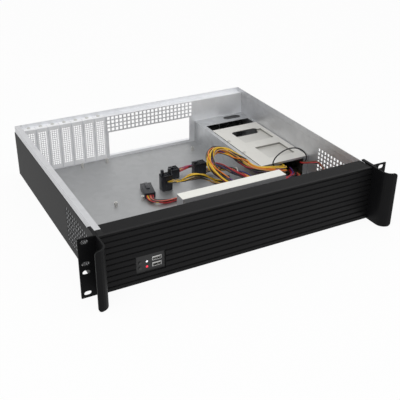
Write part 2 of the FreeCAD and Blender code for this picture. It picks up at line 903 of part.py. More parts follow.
# ---------------------------------------------------------------- power supply
psu_left = inner_x - dim.psu_wall_gap - dim.psu_width
psu_right = psu_left + dim.psu_width
psu_front = rear_wall_y - dim.psu_depth
psu_bottom = dim.metal
psu_top = psu_bottom + dim.psu_height
psu_housing_top = psu_top - dim.psu_metal
psu_cover_end = psu_front + dim.psu_cover_depth
psu_middle_z = psu_bottom + (dim.psu_height - dim.psu_metal) / 2
fan_size = dim.psu_height - dim.psu_metal * 3 - dim.fan_gap * 2
fan_duct = fan_size / 2 - dim.fan_wall
fan_x = psu_right - dim.fan_inset
fan_end = rear_wall_y - dim.psu_metal
fan_front = fan_end - dim.fan_depth
inlet_left = psu_left + dim.inlet_inset
inlet_bottom = psu_middle_z - dim.inlet_height / 2


def supply_aperture():
    """The opening behind the power supply, clear of its four rear screws."""
    return rectangle(
        psu_left + dim.supply_open_side,
        psu_bottom + dim.supply_open_end,
        dim.psu_width - dim.supply_open_side * 2,
        dim.psu_height - dim.supply_open_end * 2,
    )


def supply_screw_places():
    seat_y = rear_wall_y + dim.metal
    sides = (psu_left + dim.supply_screw_side, psu_right - dim.supply_screw_side)
    heights = (psu_bottom + dim.supply_screw_end, psu_top - dim.supply_screw_end)
    return [(across, seat_y, up) for across in sides for up in heights]


def stadium(name, left, front, width, depth, low, high):
    """A cutter for a level slot with round ends, along X."""
    radius = depth / 2
    middle = box(f"{name}_middle", (left + radius, front, low), (width - depth, depth, high - low))
    ends = [
        cylinder(f"{name}_end_{number}", "Z", (across, front + radius, low), radius, high - low)
        for number, across in enumerate((left + radius, left + width - radius))
    ]
    return [middle] + ends


def build_psu_housing():
    """Steel box: closed at the rear, open on top in front, where its cover lies."""
    wall = dim.psu_metal
    height = psu_housing_top - psu_bottom
    outside = box(
        "housing_outside",
        (psu_left, psu_front, psu_bottom),
        (dim.psu_width, dim.psu_depth, height),
    )
    inside = box(
        "housing_inside",
        (psu_left + wall, psu_front + wall, psu_bottom + wall),
        (dim.psu_width - 2 * wall, dim.psu_depth - 2 * wall, height - 2 * wall),
    )
    open_top = box(
        "housing_open_top",
        (psu_left + dim.psu_lip, psu_front + dim.psu_lip, psu_housing_top - wall * 2),
        (dim.psu_width - 2 * dim.psu_lip, dim.psu_cover_depth - 2 * dim.psu_lip, wall * 3),
    )
    cable_exit = box(
        "housing_cable_exit",
        (psu_left + dim.exit_inset, psu_front - wall, psu_bottom + dim.exit_up),
        (
            dim.psu_width - dim.exit_inset - dim.exit_edge,
            wall * 3,
            dim.psu_height - dim.exit_up - dim.exit_drop,
        ),
    )
    wide_window = box(
        "housing_wide_window",
        (
            psu_left + dim.top_window_inset_left,
            psu_cover_end + dim.top_window_gap,
            psu_housing_top - wall * 2,
        ),
        (
            dim.psu_width - dim.top_window_inset_left - dim.top_window_inset_right,
            dim.top_window_depth,
            wall * 3,
        ),
    )
    fan_opening = prism(
        "housing_fan_opening",
        "Y",
        (fan_x, fan_end - wall, psu_middle_z),
        (fan_duct - dim.fan_rim) * 2,
        wall * 3,
        RING_SIDES,
    )
    inlet_opening = box(
        "housing_inlet_opening",
        (inlet_left, fan_end - wall, inlet_bottom),
        (dim.inlet_width, wall * 3, dim.inlet_height),
    )
    tools = [inside, open_top, cable_exit, wide_window, fan_opening, inlet_opening]
    slot_left = psu_right - dim.top_slot_inset - dim.top_slot_width
    slot_y = rear_wall_y - dim.top_slot_back
    low = psu_housing_top - wall * 2
    high = psu_housing_top + wall
    width, depth = dim.top_slot_width, dim.top_slot_depth
    tools += stadium("housing_rear_slot", slot_left, slot_y, width, depth, low, high)
    tools += clearance_holes("housing_rear_hole", "Y", supply_screw_places(), 6)
    tools += clearance_holes("housing_cover_hole", "Z", psu_cover_screw_places(), 4)
    node("psu_housing", cut("psu_housing", outside, tools))
    screws("psu_mount_screws", "Y", -1, supply_screw_places())


def psu_cover_screw_places():
    seat = psu_top
    across = psu_left + dim.cover_screw_inset
    rows = (dim.cover_screw_front, dim.cover_screw_rear)
    return [(across, psu_front + along, seat) for along in rows]


def well(name, inset, along, width, depth):
    """A pressed-in tray below the cover: its block of metal, and the room inside it."""
    wall = dim.psu_metal
    left = psu_right - inset - width
    front = psu_front + along
    low = psu_housing_top - dim.well_depth
    metal_block = box(f"{name}_metal", (left, front, low), (width, depth, psu_top - low))
    room = box(
        f"{name}_room",
        (left + wall, front + wall, low + wall),
        (width - 2 * wall, depth - 2 * wall, psu_top - low),
    )
    return metal_block, room


def build_psu_cover():
    """The lid: a plate with two pressed wells and a slot, held by screws at its left edge."""
    wall = dim.psu_metal
    left = psu_left + dim.cover_inset_left
    plate = box(
        "cover_plate",
        (left, psu_front, psu_housing_top),
        (psu_right - dim.cover_inset_right - left, dim.psu_cover_depth, wall),
    )
    rear_metal, rear_room = well(
        "well_rear",
        dim.well_rear_inset,
        dim.well_rear_front,
        dim.well_rear_width,
        dim.well_rear_length,
    )
    front_metal, front_room = well(
        "well_front",
        dim.well_front_inset,
        dim.well_front_front,
        dim.well_front_width,
        dim.well_front_length,
    )
    solid = fuse("cover_solid", [plate, rear_metal, front_metal])
    slot_y = psu_front + dim.cover_slot_front
    slot_left = psu_right - dim.cover_slot_inset - dim.cover_slot_width
    width, depth = dim.cover_slot_width, dim.cover_slot_depth
    low = psu_housing_top - dim.well_depth - 1
    tools = [rear_room, front_room]
    tools += stadium("cover_slot", slot_left, slot_y, width, depth, low, psu_top + 1)
    tools += clearance_holes("cover_screw_hole", "Z", psu_cover_screw_places(), 4)
    node("psu_cover", cut("psu_cover", solid, tools))
    screws("psu_cover_screws", "Z", -1, psu_cover_screw_places(), dim.cover_screw_length)


def build_psu_inlet():
    """Mains socket in the rear face: a plastic body with a recess and three flat pins."""
    depth = dim.inlet_depth
    gap = dim.seam_gap
    wall = dim.inlet_wall
    corner = (inlet_left + gap, rear_wall_y - depth, inlet_bottom + gap)
    extent = (dim.inlet_width - 2 * gap, depth + dim.inlet_proud, dim.inlet_height - 2 * gap)
    outside = box("inlet_outside", corner, extent)
    recess = box(
        "inlet_recess",
        (inlet_left + wall, rear_wall_y - dim.inlet_recess, inlet_bottom + wall),
        (
            dim.inlet_width - 2 * wall,
            dim.inlet_recess + dim.inlet_proud * 2,
            dim.inlet_height - 2 * wall,
        ),
    )
    node("psu_inlet", cut("psu_inlet", outside, [recess]))
    centre = inlet_left + dim.inlet_width / 2
    spots = ((-7, -2), (0, 2), (7, -2))
    pins = [
        box(
            f"inlet_pin_{number}",
            (centre + across - 1, rear_wall_y - dim.inlet_recess, psu_middle_z + up - 2),
            (2, dim.inlet_pin_length, 4),
        )
        for number, (across, up) in enumerate(spots)
    ]
    node("psu_inlet_pins", group("psu_inlet_pins_set", pins))


def build_psu_fan():
    """Rear fan: square frame with a round duct, a rotor on a shaft, and a wire guard."""
    half = fan_size / 2
    frame = box(
        "fan_block",
        (fan_x - half, fan_front, psu_middle_z - half),
        (fan_size, dim.fan_depth, fan_size),
    )
    centre = (fan_x, fan_front, psu_middle_z)
    duct = prism("fan_bore", "Y", centre, fan_duct * 2, dim.fan_depth, RING_SIDES)
    strut_depth = dim.strut_depth
    strut_y = fan_end - strut_depth
    shell = cut("fan_shell", frame, [duct])
    reach = fan_duct + 0.5
    struts = [
        box(f"fan_strut_{number}", corner, extent)
        for number, (corner, extent) in enumerate((
            ((fan_x - reach, strut_y, psu_middle_z - 1), (reach * 2, strut_depth, 2)),
            ((fan_x - 1, strut_y, psu_middle_z - reach), (2, strut_depth, reach * 2)),
        ))
    ]
    seat = (fan_x, strut_y, psu_middle_z)
    hub = prism("fan_seat", "Y", seat, dim.fan_hub * 2, strut_depth, RING_SIDES)
    solid = fuse("fan_solid", [shell, hub] + struts)
    bore = dim.shaft_radius + dim.shaft_gap
    shaft_hole = cylinder("fan_shaft_hole", "Y", (fan_x, strut_y, psu_middle_z), bore, strut_depth)
    node("psu_fan_frame", cut("psu_fan_frame", solid, [shaft_hole]))

    rotor_front = fan_front + 1.5
    rotor_depth = strut_y - 0.5 - rotor_front
    front = (fan_x, rotor_front, psu_middle_z)
    cup = prism("rotor_cup", "Y", front, dim.fan_hub * 2, rotor_depth, RING_SIDES)
    shaft_length = rotor_depth + 2.5
    shaft = cylinder(
        "rotor_shaft", "Y", (fan_x, rotor_front, psu_middle_z), dim.shaft_radius, shaft_length
    )
    blades = []
    tip = fan_duct - dim.fan_tip_gap
    count = int(dim.fan_blades.value)
    for number in range(count):
        blade = doc.addObject("Part::Box", f"rotor_blade_{number}")
        bind(blade, "Length", tip - dim.fan_hub + 1)
        bind(blade, "Width", 1.2)
        bind(blade, "Height", rotor_depth * 0.85)
        turn = FreeCAD.Rotation(FreeCAD.Vector(0, 1, 0), 360 * number / count)
        pitch = FreeCAD.Rotation(FreeCAD.Vector(1, 0, 0), -55)
        blade.Placement = FreeCAD.Placement(FreeCAD.Vector(), turn.multiply(pitch))
        outward = turn.multVec(FreeCAD.Vector(1, 0, 0))
        start = dim.fan_hub - 1
        middle_y = rotor_front + rotor_depth * 0.18
        place = (fan_x + start * outward.x, middle_y, psu_middle_z + start * outward.z)
        blades.append(at(blade, place))
    swept = fuse("rotor_blades", blades)
    width = tip * (2 * math.cos(math.pi / RING_SIDES))
    envelope = prism("rotor_envelope", "Y", front, width, rotor_depth, RING_SIDES)
    trimmed = doc.addObject("Part::Common", "rotor_trimmed")
    trimmed.Base = swept
    trimmed.Tool = envelope
    node("psu_fan_rotor", fuse("psu_fan_rotor", [cup, shaft, trimmed]))

    wire = dim.guard_wire
    rings = []
    opening = fan_duct - dim.fan_rim
    for number, radius in enumerate((opening * 0.5, opening * 0.88)):
        start = (fan_x, rear_wall_y, psu_middle_z)
        outside = prism(f"guard_disc_{number}", "Y", start, (radius + wire) * 2, wire, RING_SIDES)
        inside = prism(f"guard_hole_{number}", "Y", start, radius * 2, wire, RING_SIDES)
        rings.append(cut(f"guard_ring_{number}", outside, [inside]))
    span = (opening + dim.guard_hold) * 2
    half_wire = wire / 2
    for number, (corner, extent) in enumerate((
        ((fan_x - span / 2, rear_wall_y, psu_middle_z - half_wire), (span, wire, wire)),
        ((fan_x - half_wire, rear_wall_y, psu_middle_z - span / 2), (wire, wire, span)),
    )):
        rings.append(box(f"guard_bar_{number}", corner, extent))
    node("psu_fan_guard", fuse("psu_fan_guard", rings))


def build_psu_inside():
    """What shows through the housing's slots: the circuit board and its tall parts."""
    floor = psu_bottom + dim.psu_metal
    board_z = floor + 4
    board_left = psu_left + 4
    board_width = dim.psu_width - 8
    board_length = dim.psu_cover_depth + 1
    posts = [
        prism(f"psu_post_{number}", "Z", (across, psu_front + along, floor), size(4), 4)
        for number, (across, along) in enumerate(
            (board_left + inset, along)
            for along in (12, board_length)
            for inset in (5, board_width - 5)
        )
    ]
    node("psu_posts", group("psu_posts_set", posts))
    corner = (board_left, psu_front + 6, board_z)
    node("psu_board", box("psu_board_plate", corner, (board_width, board_length, dim.board_thick)))
    top = board_z + dim.board_thick
    room = psu_housing_top - dim.well_depth - dim.inside_gap - top
    corner = (board_left + 36, psu_front + 74, top)
    node("psu_transformer", box("psu_transformer", corner, (32, 30, room - 2)))
    cans = [
        prism(f"psu_can_{number}", "Z", (board_left + 22, psu_front + along, top), size(20), room, 12)
        for number, along in enumerate((115, 138))
    ]
    node("psu_capacitors", group("psu_capacitors_set", cans))
    sink_left = board_left + 40
    sink_front = psu_front + 118
    base = box("sink_base", (sink_left, sink_front, top), (40, 3, room))
    fins = [
        box(f"sink_fin_{number}", (sink_left + 6.2 * number, sink_front, top), (2.8, 16, room))
        for number in range(7)
    ]
    node("psu_heat_sink", fuse("psu_heat_sink", [base] + fins))


# ---------------------------------------------------------------- bridge bracket and board posts
bridge_left = io_left - dim.bridge_overhang
bridge_right = bridge_left + dim.bridge_length
post_first = io_left + dim.post_inset
bridge_front_y = face_y + dim.bridge_front


def bridge_screw_places():
    """Seats of the screws through the bridge's feet, one in each foot."""
    middle = bridge_front_y + dim.bridge_width / 2
    seat = dim.metal + dim.bridge_metal
    reach = dim.bridge_foot / 2
    return [(bridge_left - reach, middle, seat), (bridge_right + reach, middle, seat)]


def build_bridge():
    """A strip bent into a bridge: a level top with a front apron, two legs and two feet."""
    body = new_body("bridge_body")
    thick = dim.bridge_metal
    floor = dim.metal
    left = bridge_left
    right = bridge_right
    top = dim.bridge_height
    foot = dim.bridge_foot
    profile = [
        (left - foot, floor),
        (left + thick, floor),
        (left + thick, top - thick),
        (right - thick, top - thick),
        (right - thick, floor),
        (right + foot, floor),
        (right + foot, floor + thick),
        (right, floor + thick),
        (right, top),
        (left, top),
        (left, floor + thick),
        (left - foot, floor + thick),
    ]
    back = bridge_front_y + dim.bridge_width
    pad(body, "bridge_strip", "Y", profile, bridge_front_y, back)
    apron = rectangle(
        left + thick * 2, top - dim.bridge_apron, dim.bridge_length - thick * 4, dim.bridge_apron
    )
    pad(body, "bridge_apron_fold", "Y", apron, bridge_front_y, bridge_front_y + thick)
    tools = clearance_holes("bridge_hole", "Z", bridge_screw_places(), thick * 2)
    node("drive_bridge", cut("drive_bridge", body, tools))
    screws("bridge_screws", "Z", -1, bridge_screw_places(), dim.bridge_screw_length)


def post_places():
    """Centres of the board's posts: three columns, the rear one of the first set further in."""
    rear = rear_wall_y - dim.post_rear
    second = post_first - dim.post_across
    columns = (post_first, second, second - dim.post_across_more)
    rows = (rear, rear - dim.post_along, rear - dim.post_along - dim.post_along_more)
    places = []
    for across in columns:
        for number, along in enumerate(rows):
            shifted = number == 0 and across is post_first
            places.append((across, along - dim.post_shift if shifted else along))
    return places


def build_posts():
    """Hexagonal posts with threaded bores that carry the circuit board."""
    posts = []
    for number, (across, along) in enumerate(post_places()):
        start = (across, along, dim.metal)
        bar = prism(f"post_{number}", "Z", start, dim.post_flats, dim.post_height)
        bore = cylinder(f"post_bore_{number}", "Z", start, dim.post_bore, dim.post_height)
        posts.append(cut(f"post_{number}_bored", bar, [bore]))
    node("board_posts", group("board_posts_set", posts))


# ---------------------------------------------------------------- wiring
# Every point of the wiring is given from the power supply's front left corner: how far to the
# right, how far back, and how high above the surface that the case stands on. A bundle is limp,
# because it is many thin wires side by side, so it folds within a few of its thicknesses.
TUBE_SIDES = 4
REACH = 0.45

BUNDLES = {
    # to the big loop, over and down, and under the bridge
    "wire_main": (11, [
        (49.3, 0, 31), (48.3, -12, 33), (37.3, -19, 37), (22.3, -19, 40), (7.3, -16, 41),
        (-4.7, -6, 40), (-7.7, 10, 38), (-8.7, 28, 39), (-13.7, 46, 43), (-22.7, 61, 49),
        (-38.7, 66, 55), (-55.7, 57, 56), (-66.7, 41, 52), (-68.7, 25, 43), (-59.7, 12, 33),
        (-49.7, -5, 26), (-39.7, -23, 20), (-29.7, -41, 13), (-23.7, -58, 7.5),
    ]),
    # along the supply's side to the large upright connector
    "wire_board": (9, [
        (50.3, 0, 18), (49.3, -12, 18), (37.3, -23, 19), (20.3, -26, 21), (3.3, -21, 22),
        (-8.7, -7, 22), (-12.7, 14, 21), (-12.7, 37, 19), (-15.7, 58, 15), (-23.7, 75, 11),
        (-36.7, 86, 8), (-49.7, 88, 7),
    ]),
    # along the floor, then in a low arc to the connector with two horns
    "wire_processor": (8, [
        (66.3, 0, 10), (64.3, -13, 9), (50.3, -25, 7), (31.3, -32, 6), (10.3, -31, 6),
        (-6.7, -19, 7), (-16.7, -1, 8), (-25.7, 17, 8), (-40.7, 29, 8), (-57.7, 33, 14),
        (-71.7, 31, 25), (-85.7, 30, 33), (-99.7, 32, 34), (-109.7, 39, 28), (-116.7, 48, 22),
        (-124.7, 55, 19), (-130.7, 61, 18),
    ]),
    # along the floor to the flat connector furthest left
    "wire_drive": (7, [
        (80.3, 0, 11), (78.3, -14, 8), (64.3, -30, 5), (42.3, -41, 5), (16.3, -45, 5),
        (-5.7, -43, 5), (-27.7, -35, 5), (-47.7, -21, 5.5), (-67.7, -6, 5), (-87.7, 8, 6),
        (-107.7, 20, 5), (-127.7, 26, 6), (-146.7, 25, 5), (-161.7, 26, 5.5), (-170.7, 33, 6),
        (-171.2, 44, 6), (-167, 54.5, 6),
    ]),
    # behind the upright connector to the small one
    "wire_card": (7, [
        (64.3, 0, 24), (62.3, -14, 24), (49.3, -27, 26), (30.3, -36, 28), (8.3, -34, 29),
        (-8.7, -23, 30), (-19.7, -5, 28), (-23.7, 18, 26), (-25.7, 42, 25), (-29.7, 66, 24),
        (-37.7, 88, 20), (-51.7, 102, 14), (-66.7, 108, 11), (-80.7, 106, 11), (-93.7, 102, 11),
    ]),
    # a thin lead that loops over the supply's front edge and goes back in
    "wire_lead": (2.2, [
        (45.9, 0, 36.1), (36.3, -5, 36), (27.3, -8, 39), (23.3, -8, 47), (29.3, -7, 56),
        (41.3, -6, 62.5), (56.3, -5, 65.5), (72.3, -5, 63), (85.3, -5, 55), (93.3, -5, 44),
        (93.3, -3.5, 33), (87.3, 0, 26),
    ]),
    # forward along the right wall
    "wire_side": (4, [
        (84.3, 0, 32), (86.3, -12, 35), (89.3, -25, 42), (92.3, -39, 46), (93.3, -53, 42),
        (92.3, -65, 30), (90.3, -75, 17), (88.3, -84, 8), (86.3, -93, 4.5),
    ]),
}

# Each connector: its front left low corner, its width, length and height, and its turn.
CONNECTORS = {
    "plug_main": ((-33.7, -81, 1.3), (20, 23, 12.2), 0),
    "plug_board": ((-70.7, 81, 1.3), (21, 14, 24.7), 0),
    "plug_processor": ((-140.7, 61, 1.3), (18, 14, 26.7), 0),
    "plug_drive": ((-176.6, 52.6, 1.3), (18, 36, 10.7), -12),
    "plug_card": ((-107.7, 94, 1.3), (14, 16, 16.7), 0),
    "plug_side": ((80.3, -109, 1.3), (12, 16, 6.7), 0),
}


def spot(place):
    """A point of the wiring in the case's own frame."""
    right, back, up = place
    return (psu_left + right, psu_front + back, size(up))


def tube(name, thick, places):
    """A bundle's outer form: straight runs joined by arcs, with a flat-sided section."""
    corners = [FreeCAD.Vector(*[length.value for length in spot(place)]) for place in places]
    start = corners[0]
    edges = []
    radii = []
    for before, corner, after in zip(corners, corners[1:], corners[2:]):
        back = before - corner
        ahead = after - corner
        reach = REACH * min(back.Length, ahead.Length)
        radius = reach * math.tan(back.getAngle(ahead) / 2)
        back.normalize()
        ahead.normalize()
        inward = (back + ahead).normalize()
        middle = corner + inward * (math.hypot(reach, radius) - radius)
        entry = corner + back * reach
        leave = corner + ahead * reach
        edges.append(Part.LineSegment(start, entry).toShape())
        edges.append(Part.Arc(entry, middle, leave).toShape())
        radii.append(radius)
        start = leave
    edges.append(Part.LineSegment(start, corners[-1]).toShape())
    path = Part.Wire(edges)
    forward = (corners[1] - corners[0]).normalize()
    first = forward.cross(FreeCAD.Vector(0, 0, 1)).normalize()
    second = forward.cross(first)
    around = [2 * math.pi * side / TUBE_SIDES for side in range(TUBE_SIDES + 1)]
    ring = [
        corners[0] + (first * math.cos(angle) + second * math.sin(angle)) * (thick / 2)
        for angle in around
    ]
    feature = doc.addObject("Part::Feature", name)
    feature.Shape = path.makePipeShell([Part.makePolygon(ring)], True, False)
    section = Part.Face(Part.makePolygon(ring)).Area
    share = feature.Shape.Volume / (section * path.Length)
    print(f"{name}: length {path.Length:.1f}, tightest radius {min(radii):.1f}, volume {share:.4f}")
    print("  radii", " ".join(f"{radius:.1f}" for radius in radii))
    node(name, feature)


def build_wiring():
    """The bundles of wires that leave the power supply."""
    for name, (thick, places) in BUNDLES.items():
        tube(name, thick, places)


def build_connectors():
    """Moulded connectors: ribbed blocks, some with a latch; one has a horn at each end."""
    rib_depth = size(1)
    for name, (place, extent, turn) in CONNECTORS.items():
        width, length, height = [size(part) for part in extent]
        block = box(f"{name}_block", (0, 0, 0), (width, length, height))
        pieces = [block]
        grooves = []
        count = int(extent[0] // 4)
        pitch = width / count
        if name in ("plug_board", "plug_processor"):
            for number in range(count):
                corner = (pitch * number + pitch / 2 - 0.7, 0, 3)
                grooves.append(box(f"{name}_groove_{number}", corner, (1.4, rib_depth, height - 5)))
        else:
            for number in range(count):
                corner = (pitch * number + pitch / 2 - 0.7, 4, height - rib_depth)
                grooves.append(box(f"{name}_groove_{number}", corner, (1.4, length - 7, rib_depth)))
        if name == "plug_processor":
            for number, across in enumerate((size(1), width - 6)):
                corner = (across, length / 2 - 2.5, height)
                pieces.append(box(f"{name}_horn_{number}", corner, (5, 5, 9)))
        if name in ("plug_board", "plug_card"):
            corner = (1, length / 2 - 1.5, height)
            pieces.append(box(f"{name}_latch", corner, (4, 3, 3)))
        solid = fuse(f"{name}_solid", pieces) if len(pieces) > 1 else block
        finished = cut(name, solid, grooves)
        turning = FreeCAD.Rotation(FreeCAD.Vector(0, 0, 1), turn)
        finished.Placement = FreeCAD.Placement(FreeCAD.Vector(), turning)
        node(name, at(finished, spot(place)))


build_tray()
build_rear_panel()
build_slot_covers()
build_front_frame()
build_bezel()
build_controls()
build_ears()
build_handles()
build_psu_housing()
build_psu_cover()
build_psu_inlet()
build_psu_fan()
build_psu_inside()
build_bridge()
build_posts()
build_wiring()
build_connectors()

# ---------------------------------------------------------------- checks and files
doc.recompute()
failed = [item.Name for item in doc.Objects if {"Invalid", "Error"} & set(item.State)]
if failed:
    raise RuntimeError(f"these objects failed to recompute: {failed}")
for piece in nodes:
    if piece.Shape.isNull() or not piece.Shape.isValid() or not piece.Shape.Solids:
        raise RuntimeError(f"{piece.Label} has no valid solid")

os.makedirs("parts", exist_ok=True)
for piece in nodes:
    piece.Shape.exportStep(f"parts/{piece.Label}.step")
print(f"{len(nodes)} pieces written")
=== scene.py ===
import math

import bmesh
import bpy
import numpy as np
from bpy.props import FloatProperty, FloatVectorProperty, IntProperty, PointerProperty
from mathutils import Matrix, Vector


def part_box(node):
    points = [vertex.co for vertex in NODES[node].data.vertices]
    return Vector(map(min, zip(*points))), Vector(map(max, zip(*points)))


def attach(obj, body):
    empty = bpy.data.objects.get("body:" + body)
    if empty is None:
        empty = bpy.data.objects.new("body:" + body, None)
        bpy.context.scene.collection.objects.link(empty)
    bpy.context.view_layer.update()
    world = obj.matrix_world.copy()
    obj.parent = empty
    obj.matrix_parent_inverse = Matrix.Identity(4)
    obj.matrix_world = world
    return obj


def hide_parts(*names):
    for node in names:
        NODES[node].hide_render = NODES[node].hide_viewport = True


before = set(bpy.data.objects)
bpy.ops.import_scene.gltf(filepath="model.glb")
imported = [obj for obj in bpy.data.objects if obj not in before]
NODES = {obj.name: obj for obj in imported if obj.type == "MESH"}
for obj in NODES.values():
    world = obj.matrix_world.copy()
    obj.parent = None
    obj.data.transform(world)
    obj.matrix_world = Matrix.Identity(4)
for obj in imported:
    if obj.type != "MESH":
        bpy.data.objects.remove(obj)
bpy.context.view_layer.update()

bl_info = {
    "name": "Rack Case Finishes",
    "version": (1, 0, 0),
    "blender": (4, 5, 0),
    "location": "3D View > Sidebar > Rack Case",
    "description": "Finishes, wiring and a plain studio for a short two-unit rack case",
    "category": "Object",
}

SUPPLY_CORNER = np.array(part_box("psu_housing")[0]) * (1, 1, 0)
FLOOR_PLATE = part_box("board_posts")[0].z
RNG_SEED = 7
TENTHS_PER_METRE = 10_000  # tenths of a millimetre
SHARP = math.radians(35)
# Shares of a bundle's length where it starts to open into a row and where the row is done.
ROW_START, ROW_DONE = 0.86, 0.98


# ---- settings
def tone(name, description, default):
    return FloatVectorProperty(
        name=name, description=description, default=default, min=0, max=1, subtype="COLOR"
    )


def metres(name, description, default):
    return FloatProperty(name=name, description=description, default=default, min=0, unit="LENGTH")


def number(name, description, default, least):
    return IntProperty(name=name, description=description, default=default, min=least)


def degrees(name, description, turn):
    default = math.radians(turn)
    return FloatProperty(name=name, description=description, default=default, subtype="ANGLE")


def fraction(name, description, default):
    return FloatProperty(
        name=name, description=description, default=default, min=0, max=1, subtype="FACTOR"
    )


class SheetMetalSettings(bpy.types.PropertyGroup):
    zinc: tone("Zinc", "Bare galvanised steel of the tray and rear wall", (0.60, 0.605, 0.62))
    # Painted shade: the tray floor's tone is the tray's zinc made darker, standing in for the dimmer light
    # on the floor.
    floor: tone("Tray floor", "Bare steel of the tray's floor", (0.40, 0.405, 0.41))
    paint: tone("Paint", "Powder coat on the outside", (0.005, 0.005, 0.0055))
    # Painted light: the rear wall's tone is a lighter copy of the tray's galvanised zinc, standing in for
    # the light that falls on it.
    rear: tone("Rear wall", "Galvanised steel of the rear wall", (0.84, 0.85, 0.87))
    bezel: tone("Bezel", "Anodised front plate", (0.006, 0.006, 0.0065))
    # The strip's pale cream-white is partly painted light on the bridge's level top.
    strip: tone("Bridge strip", "Cream-white plating of the bridge", (0.90, 0.90, 0.84))
    cover: tone("Supply cover", "Bright plate over the power supply", (0.74, 0.73, 0.69))
    housing: tone("Supply housing", "Galvanised box of the power supply", (0.50, 0.51, 0.52))
    grain: metres("Rolling grain", "Depth of the rolling marks", 0.00002)
    coat_texture: metres("Coat texture", "Depth of the powder coat's fine texture", 0.00006)


class PerforationSettings(bpy.types.PropertyGroup):
    thickness: metres("Thickness", "Thickness of a slot cover's plate", 0.00086)
    middle: metres("Middle", "Height of the middle of the holes", 0.0425)
    columns: number("Columns", "Holes across one slot cover", 4, 2)
    rows: number("Rows", "Holes up one slot cover", 18, 2)
    hole: metres("Hole", "Diameter of one hole", 0.0028)
    pitch: metres("Pitch", "Distance between holes", 0.0036)


class WiringSettings(bpy.types.PropertyGroup):
    wire: metres("Wire", "Outer diameter of one wire", 0.0021)
    smoothness: number("Smoothness", "Rings of a wire for each point of its route", 8, 3)
    sides: number("Sides", "Corners of one ring", 8, 4)
    drift: degrees("Drift", "How far the wires wander round their bundle", 85)
    loose: fraction("Looseness", "How much a wire moves in and out of its bundle", 0.22)
    reach: fraction("Reach", "How far a bundle reaches from its middle, over its thickness", 0.65)
    margin: metres("Margin", "How far a bundle may stand out beyond its thickness", 0.0016)


class FastenerSettings(bpy.types.PropertyGroup):
    head: metres("Head", "Radius of a screw's head", 0.003)
    height: metres("Head height", "Height of a screw's head", 0.0018)
    shank: metres("Shank", "Radius of a screw's shank", 0.0015)
    thread: metres("Thread", "Distance between a screw's threads", 0.0005)


class ConnectorSettings(bpy.types.PropertyGroup):
    wall: metres("Wall", "Thickness of the walls between sockets", 0.0007)
    edge: metres("Edge", "Radius of a housing's edges", 0.0007)
    mouth: metres("Mouth", "Depth of the sockets' mouths", 0.003)


class StudioSettings(bpy.types.PropertyGroup):
    floor: tone("Floor", "Colour of the floor", (0.92, 0.92, 0.92))
    glow: fraction("Floor glow", "Share of the floor that shows as plain white", 0.93)
    sky: FloatProperty(name="Sky", description="Strength of the even light", default=0.6, min=0)
    key: FloatProperty(name="Key lamp", description="Power of the large lamp", default=16, unit="POWER")
    fill: FloatProperty(name="Fill lamp", description="Power of the small lamp", default=4, unit="POWER")
    lens: FloatProperty(name="Lens", description="Focal length", default=63.9, subtype="DISTANCE_CAMERA")
    azimuth: degrees("Azimuth", "Heading of the view, from straight ahead towards the right", 28.1)
    elevation: degrees("Elevation", "Height of the view", 28.65)
    roll: degrees("Roll", "Turn about the line of sight", 0.52)
    place: FloatVectorProperty(
        name="Camera", description="Place of the camera", default=(-0.4541, -0.8899, 0.5441),
        subtype="TRANSLATION",
    )


# ---- shader expressions
def operator(operation, reflected=False):
    """An arithmetic operator as a method; a reflected one has its own value second."""

    def apply(self, other):
        pair = (other, self) if reflected else (self, other)
        return self.made(operation, *pair)

    return apply


class Value:
    """A number that changes over a surface; arithmetic on it adds Math nodes."""

    __add__, __radd__ = operator("ADD"), operator("ADD", True)
    __sub__, __rsub__ = operator("SUBTRACT"), operator("SUBTRACT", True)
    __mul__, __rmul__ = operator("MULTIPLY"), operator("MULTIPLY", True)
    __gt__ = operator("GREATER_THAN")
    __lt__ = operator("LESS_THAN")
    or_more = operator("MAXIMUM")

    def __init__(self, finish, socket):
        self.finish = finish
        self.socket = socket

    def made(self, operation, *given):
        node = self.finish.node("Math", {"operation": operation}, dict(enumerate(given)))
        return Value(self.finish, node.outputs[0])

    def __abs__(self):
        return self.made("ABSOLUTE", self)

    def wave(self):
        return self.made("SINE", self)

    def rise(self, low, high):
        """0 below low, 1 above high, and a smooth slope between."""
        node = self.finish.node(
            "MapRange",
            {"interpolation_type": "SMOOTHSTEP"},
            {"Value": self, "From Min": low, "From Max": high},
        )
        return Value(self.finish, node.outputs[0])


class Nodes:
    """Nodes of one tree, all made and fed in one way."""

    def __init__(self, tree):
        self.tree = tree

    def node(self, kind, settings=None, inputs=None):
        made = self.tree.nodes.new(f"ShaderNode{kind}")
        for key, setting in (settings or {}).items():
            setattr(made, key, setting)
        for key, given in (inputs or {}).items():
            self.feed(made.inputs[key], given)
        return made

    def feed(self, socket, given):
        if isinstance(given, Value):
            given = given.socket
        if isinstance(given, bpy.types.NodeSocket):
            self.tree.links.new(given, socket)
        else:
            socket.default_value = given

    def seen(self):
        """1 for rays that show the surroundings: straight, mirrored or through glass."""
        path = self.node("LightPath").outputs
        kinds = [Value(self, path[f"Is {kind} Ray"]) for kind in ("Camera", "Glossy", "Transmission")]
        return kinds[0].or_more(kinds[1]).or_more(kinds[2])


